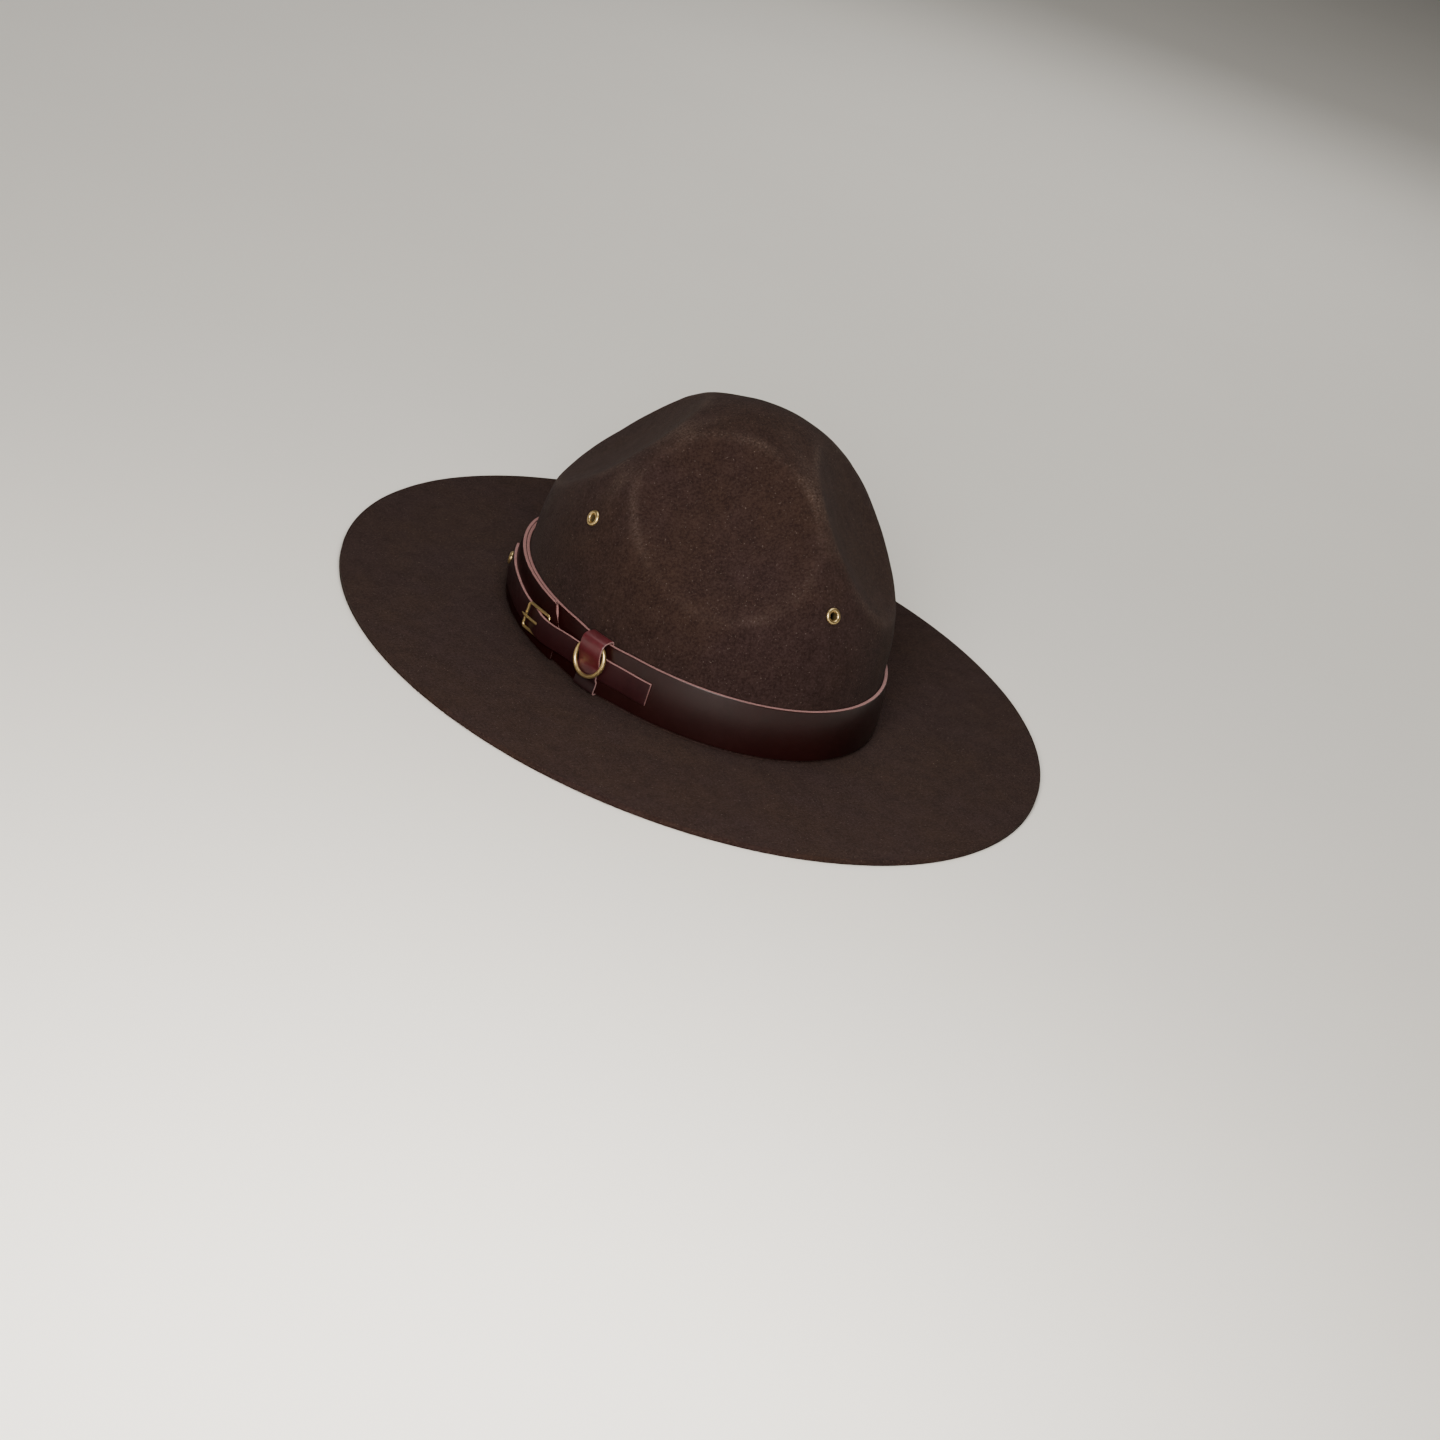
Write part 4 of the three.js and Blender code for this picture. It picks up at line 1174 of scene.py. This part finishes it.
class HAT_OT_keeper(bpy.types.Operator):
    """Build the leather keeper round the band, the strap and the ring's top"""

    bl_idname = "hat.keeper"
    bl_label = "Keeper"

    def execute(self, context):
        felt, leather, brass = sizes()
        height, radius, top_out, _, band, strap = ring_places()
        half = leather.keeper_leather / 2
        _, band_top = band_levels()
        back = leather.gap + half
        foot = felt.felt + leather.gap + half
        top = band_top + leather.gap + half
        over_ring = top_out + brass.ring_wire / 2 + 3 * leather.gap + half
        on_strap = strap + leather.gap + half
        on_band = band + leather.gap + half
        ring_top = height + radius
        strap_foot = strap_height(leather.keeper_turn) - leather.strap_width / 2
        thick = leather.keeper_leather
        behind = [(foot + half, back), ((foot + top) / 2, back), (top - half, back)]
        over_top = [
            (top + half * 0.7, back + thick), (top + half, (back + over_ring) / 2), (top, over_ring - thick),
        ]
        round_ring = [
            (ring_top + half, over_ring), (height + radius / 2, over_ring + leather.gap),
            (height, (over_ring + on_strap) / 2), (height - radius / 3, on_strap),
        ]
        down_face = [
            (strap_foot - half, on_strap), (strap_foot - leather.strap_leather - thick, on_band),
            (foot + half, on_band), (foot, on_band - half), (foot, back + half), (foot + half, back),
        ]
        route = behind + over_top + round_ring + down_face
        path = soften(curve_through(route, 140), 3)[:-1]
        section = leather_section(leather.keeper_width, thick, leather.narrow_round, 0.0)
        rate = turn_per_metre(leather.keeper_turn)
        loops, raw = [], []
        count = len(path)
        for index in range(count):
            before, here, after = path[index - 1], path[index], path[(index + 1) % count]
            forward = Vector((after[0] - before[0], after[1] - before[1])).normalized()
            side = Vector((forward.y, -forward.x))
            loop = []
            for across, depth, value in section:
                off = depth - half
                rise, out = here[0] - side.x * off, here[1] - side.y * off
                loop.append(wall_point(leather.keeper_turn + across * rate, rise, out))
                raw.append(value)
            loops.append(loop)
        piece = new_piece("keeper", *loft(loops, True))
        add_values(piece, "raw_edge", raw)
        face_outwards(piece)
        colours = context.scene.hat_colours
        # Painted shade on the keeper's lower part, below 12.5 mm.
        material = leather_material("keeper_leather", tuple(colours.keeper), 0.4, 1.0, painted_shade_below=0.0125)
        finish_piece(piece, material, "keeper_leather", "keeper_loop")
        return {"FINISHED"}


# Brass

def wire_tree():
    """Sweeps a round wire along the closed path that the piece's mesh holds"""
    name = "Wire along path"
    if name in bpy.data.node_groups:
        return bpy.data.node_groups[name]
    tree, given, result = new_tree(name, [
        ("Radius", "NodeSocketFloat", 0.001),
        ("Sides", "NodeSocketInt", 16),
        ("Material", "NodeSocketMaterial", None),
    ])
    path = tree.nodes.new("GeometryNodeMeshToCurve")
    circle = tree.nodes.new("GeometryNodeCurvePrimitiveCircle")
    sweep = tree.nodes.new("GeometryNodeCurveToMesh")
    tree.links.new(given.outputs["Geometry"], path.inputs["Mesh"])
    tree.links.new(given.outputs["Radius"], circle.inputs["Radius"])
    tree.links.new(given.outputs["Sides"], circle.inputs["Resolution"])
    tree.links.new(path.outputs["Curve"], sweep.inputs["Curve"])
    tree.links.new(circle.outputs["Curve"], sweep.inputs["Profile Curve"])
    end_tree(tree, given, result, sweep.outputs["Mesh"])
    return tree


def wire_piece(name, points, radius):
    """A closed wire through points, as a mesh"""
    _, _, brass = sizes()
    edges = [(index, (index + 1) % len(points)) for index in range(len(points))]
    mesh = bpy.data.meshes.new(name)
    mesh.from_pydata([tuple(p) for p in points], edges, [])
    piece = bpy.data.objects.new(name, mesh)
    bpy.context.scene.collection.objects.link(piece)
    run_tree(piece, wire_tree(), {"Radius": radius, "Sides": brass.sides, "Material": brass_finish()})
    face_outwards(piece)
    return piece


def brass_finish():
    return bpy.data.materials.get("brass") or brass_material()


def buckle_matrix():
    _, _, brass = sizes()
    heel, heel_out, end, end_out, _ = buckle_places()
    height = strap_height(brass.buckle_turn)
    heel_point = wall_point(heel, height, heel_out)
    end_point = wall_point(end, height, end_out)
    along = (heel_point - end_point).normalized()
    wall_up = place_on_wall(heel, height, heel_out).to_3x3().col[1]
    outwards = along.cross(wall_up).normalized()
    middle = (heel_point + end_point) / 2
    return set_axes(along, outwards.cross(along), outwards, middle), (heel_point - end_point).length / 2


class HAT_OT_buckle(bpy.types.Operator):
    """Build the buckle's frame and tongue"""

    bl_idname = "hat.buckle"
    bl_label = "Buckle"

    def execute(self, context):
        _, leather, brass = sizes()
        place, half_span = buckle_matrix()
        wire = brass.buckle_wire / 2
        half_height = (leather.strap_width + leather.gap) / 2 + wire
        points = []
        for side_x, side_y, start in ((1, 1, 0), (-1, 1, 90), (-1, -1, 180), (1, -1, 270)):
            for bend in np.radians(np.linspace(start, start + 90, 9)):
                points.append(place @ Vector((
                    side_x * (half_span - brass.buckle_corner) + brass.buckle_corner * math.cos(bend),
                    side_y * (half_height - brass.buckle_corner) + brass.buckle_corner * math.sin(bend),
                    0.0,
                )))
        rim = wire_piece("buckle", points, wire)
        finish_piece(rim, brass_finish(), "brass", "buckle_frame")
        self.make_tongue(place, half_span)
        return {"FINISHED"}

    def make_tongue(self, place, half_span):
        _, leather, brass = sizes()
        wire = brass.buckle_wire / 2
        eye = wire + leather.gap
        half = brass.tongue / 2
        rest = eye + half
        round_bar = eye + half * 0.6
        line = []
        for bend in np.radians(np.linspace(-100, 135, 14)):
            line.append((half_span + round_bar * math.cos(bend), round_bar * math.sin(bend)))
        line.append((half_span * 0.4, rest + half * 0.9))
        line.append((-half_span + wire, rest + half * 0.5))
        line.append((-half_span - wire, rest))
        line.append((-half_span - 2 * wire, rest - half * 0.3))
        path = soften(curve_through(line, 70), 3)
        loops = []
        for index, (along, out) in enumerate(path):
            before, after = path[max(index - 1, 0)], path[min(index + 1, len(path) - 1)]
            forward = Vector((after[0] - before[0], after[1] - before[1])).normalized()
            side = Vector((-forward.y, forward.x))
            from_tip = (len(path) - 1 - index) / (len(path) - 1)
            wide = half * mix(0.45, 1.0, smooth(from_tip / 0.12))
            thick = half * mix(0.35, 0.62, smooth(from_tip / 0.12))
            loops.append([place @ Vector((
                along + side.x * thick * math.sin(bend),
                wide * math.cos(bend),
                out + side.y * thick * math.sin(bend),
            )) for bend in np.linspace(0, 2 * math.pi, 16, endpoint=False)])
        tongue = new_piece("tongue", *loft(loops, False))
        face_outwards(tongue)
        finish_piece(tongue, brass_finish(), "brass", "buckle_tongue")


class HAT_OT_ring(bpy.types.Operator):
    """Build the ring that the keeper holds"""

    bl_idname = "hat.ring"
    bl_label = "Keeper ring"

    def execute(self, context):
        _, leather, brass = sizes()
        height, radius, top_out, foot_out, _, _ = ring_places()
        lean = math.asin((foot_out - top_out) / (2 * radius))
        middle = place_on_wall(leather.keeper_turn, height, (top_out + foot_out) / 2)
        place = middle @ Matrix.Rotation(-lean, 4, "X")
        points = [place @ Vector((radius * math.cos(a), radius * math.sin(a), 0.0))
                  for a in np.linspace(0, 2 * math.pi, 72, endpoint=False)]
        ring = wire_piece("ring", points, brass.ring_wire / 2)
        finish_piece(ring, brass_finish(), "brass", "keeper_ring")
        return {"FINISHED"}


def turned(rows, sides):
    """Loops of a turned form from (radius, height) rows, z being its axis"""
    return [[Vector((radius * math.cos(a), radius * math.sin(a), height))
             for a in np.linspace(0, 2 * math.pi, sides, endpoint=False)] for radius, height in rows]


class HAT_OT_rivet(bpy.types.Operator):
    """Build the rivet at the strap's front end"""

    bl_idname = "hat.rivet"
    bl_label = "Strap rivet"

    def execute(self, context):
        _, leather, brass = sizes()
        face = strap_face(brass.rivet_turn)
        place = place_on_wall(brass.rivet_turn, strap_height(brass.rivet_turn), face + leather.strap_leather)
        shank = brass.rivet_shank / 2
        rows = [(shank, -brass.rivet_depth), (shank, -leather.gap)]
        rows += [(max(row["out"], 0.001) * brass.rivet_head / 2, row["rise"] * brass.rivet_dome + leather.gap)
                 for row in RIVET_SECTION]
        loops = [[place @ p for p in loop] for loop in turned(rows, 32)]
        rivet = new_piece("rivet", *loft(loops, False))
        face_outwards(rivet)
        finish_piece(rivet, brass_finish(), "brass", "strap_rivet")
        return {"FINISHED"}


def eyelet_tree():
    """Sets a copy of the pattern at each point, turned to the point's facing"""
    tree, given, result = new_tree("Eyelets on crown", [
        ("Pattern", "NodeSocketObject", None),
        ("Material", "NodeSocketMaterial", None),
    ])
    info = tree.nodes.new("GeometryNodeObjectInfo")
    points = tree.nodes.new("GeometryNodeMeshToPoints")
    facing = tree.nodes.new("GeometryNodeInputNamedAttribute")
    facing.data_type = "FLOAT_VECTOR"
    facing.inputs["Name"].default_value = "facing"
    aim = tree.nodes.new("FunctionNodeAlignRotationToVector")
    aim.axis = "Z"
    place = tree.nodes.new("GeometryNodeInstanceOnPoints")
    tree.links.new(given.outputs["Pattern"], info.inputs["Object"])
    tree.links.new(given.outputs["Geometry"], points.inputs["Mesh"])
    tree.links.new(facing.outputs["Attribute"], aim.inputs["Vector"])
    tree.links.new(points.outputs["Points"], place.inputs["Points"])
    tree.links.new(info.outputs["Geometry"], place.inputs["Instance"])
    tree.links.new(aim.outputs["Rotation"], place.inputs["Rotation"])
    end_tree(tree, given, result, place.outputs["Instances"])
    return tree


class HAT_OT_eyelets(bpy.types.Operator):
    """Build the brass eyelets low on the crown's ridges"""

    bl_idname = "hat.eyelets"
    bl_label = "Eyelets"

    def execute(self, context):
        felt, leather, brass = sizes()
        hole, rim = brass.eyelet_hole / 2, brass.eyelet_outer / 2
        rows = [(hole + row["out"] * (rim - hole), leather.gap / 2 + row["rise"] * brass.eyelet_rim)
                for row in EYELET_SECTION]
        back = -felt.felt - 3 * leather.gap
        washer = rim * 0.92
        barrel = hole + brass.eyelet_metal
        rows += [(washer, back - brass.eyelet_metal), (washer, back), (barrel, back), (barrel, 0.0)]
        pattern = new_piece("eyelet_pattern", *loft(turned(rows, 40), True))
        face_outwards(pattern)
        shade_smooth(pattern)
        places = [eyelet_place(turn * math.pi / 2) for turn in range(4)]
        mesh = bpy.data.meshes.new("eyelets")
        mesh.from_pydata([tuple(place.translation) for place in places], [], [])
        piece = bpy.data.objects.new("eyelets", mesh)
        context.scene.collection.objects.link(piece)
        facing = mesh.attributes.new("facing", "FLOAT_VECTOR", "POINT")
        facing.data.foreach_set("vector", [part for place in places for part in place.to_3x3().col[2]])
        run_tree(piece, eyelet_tree(), {"Pattern": pattern, "Material": brass_finish()})
        bpy.data.objects.remove(pattern)
        finish_piece(piece, brass_finish(), "brass",
                     "eyelet_left", "eyelet_back", "eyelet_right", "eyelet_front")
        return {"FINISHED"}


# Stage

def add_light(name, place, target, size, power, tint):
    light = bpy.data.lights.new(name, "AREA")
    light.shape = "DISK"
    light.size = size
    light.energy = power
    light.color = tint
    lamp = bpy.data.objects.new(name, light)
    bpy.context.scene.collection.objects.link(lamp)
    lamp.location = place
    lamp.rotation_euler = (Vector(target) - Vector(place)).to_track_quat("-Z", "Y").to_euler()


class HAT_OT_stage(bpy.types.Operator):
    """Set up the camera, the lights and the floor"""

    bl_idname = "hat.stage"
    bl_label = "Camera, lights and floor"

    def execute(self, context):
        stage = context.scene.hat_stage
        self.make_camera(stage)
        self.make_floor(stage)
        for light in LIGHTS:
            add_light(**light)
        return {"FINISHED"}

    def make_camera(self, stage):
        turn, lift, roll = stage.camera_turn, stage.camera_lift, stage.camera_roll
        back = Vector((math.sin(turn) * math.cos(lift), -math.cos(turn) * math.cos(lift), math.sin(lift)))
        right = Vector((math.cos(turn), math.sin(turn), 0.0))
        up = back.cross(right)
        across = math.cos(roll) * right + math.sin(roll) * up
        above = -math.sin(roll) * right + math.cos(roll) * up
        place = stage.camera_across * across + stage.camera_up * above + stage.camera_distance * back
        place.z += stage.camera_ground
        data = bpy.data.cameras.new("camera")
        data.lens = stage.lens
        data.sensor_width = 36.0
        data.clip_end = 100.0
        camera = bpy.data.objects.new("camera", data)
        bpy.context.scene.collection.objects.link(camera)
        camera.matrix_world = set_axes(across, above, back, place)
        bpy.context.scene.camera = camera

    def make_floor(self, stage):
        reach, ground = 30.0, -0.0002
        floor = new_piece("floor", [(-reach, -reach, ground), (reach, -reach, ground), (reach, reach, ground),
                                    (-reach, reach, ground)], [(0, 1, 2, 3)])
        material, tree, surface, place = new_material("floor")
        clouds = place_group(tree, cloudiness_group(), place, Coarse=0.8, Fine=4.0).outputs["Value"]
        darker = tuple(0.97 * part for part in stage.floor)
        tree.links.new(blend_colours(tree, clouds, darker, tuple(stage.floor)), surface.inputs["Base Color"])
        surface.inputs["Roughness"].default_value = 0.9
        surface.inputs["Specular IOR Level"].default_value = 0.1
        floor.data.materials.append(material)
        world = bpy.data.worlds.new("studio")
        world.use_nodes = True
        sky = world.node_tree.nodes["Background"]
        sky.inputs["Color"].default_value = (0.62, 0.61, 0.59, 1.0)
        sky.inputs["Strength"].default_value = 0.05
        bpy.context.scene.world = world


PIECES = ("felt", "band", "strap", "chape", "keeper", "buckle", "ring", "rivet", "eyelets", "stage")


class HAT_PT_panel(bpy.types.Panel):
    """Lists the hat's pieces"""

    bl_idname = "HAT_PT_panel"
    bl_label = "Campaign hat"
    bl_space_type = "VIEW_3D"
    bl_region_type = "UI"
    bl_category = "Hat"

    def draw(self, context):
        for name in PIECES:
            self.layout.operator("hat." + name)
        for group in (context.scene.hat_felt, context.scene.hat_leather, context.scene.hat_brass,
                      context.scene.hat_colours, context.scene.hat_stage):
            box = self.layout.box()
            for key in group.__annotations__:
                box.prop(group, key)


GROUPS = {
    "hat_felt": HatFeltSizes,
    "hat_leather": HatLeatherSizes,
    "hat_brass": HatBrassSizes,
    "hat_colours": HatColours,
    "hat_stage": HatStage,
}
CLASSES = (
    *GROUPS.values(), HAT_OT_felt, HAT_OT_band, HAT_OT_strap, HAT_OT_chape, HAT_OT_keeper, HAT_OT_buckle,
    HAT_OT_ring, HAT_OT_rivet, HAT_OT_eyelets, HAT_OT_stage, HAT_PT_panel,
)


def register():
    for kind in CLASSES:
        bpy.utils.register_class(kind)
    for name, group in GROUPS.items():
        setattr(bpy.types.Scene, name, PointerProperty(type=group))


def unregister():
    for name in GROUPS:
        delattr(bpy.types.Scene, name)
    for kind in reversed(CLASSES):
        bpy.utils.unregister_class(kind)


def main():
    register()
    for name in PIECES:
        getattr(bpy.ops.hat, name)()


if __name__ == "__main__":
    main()
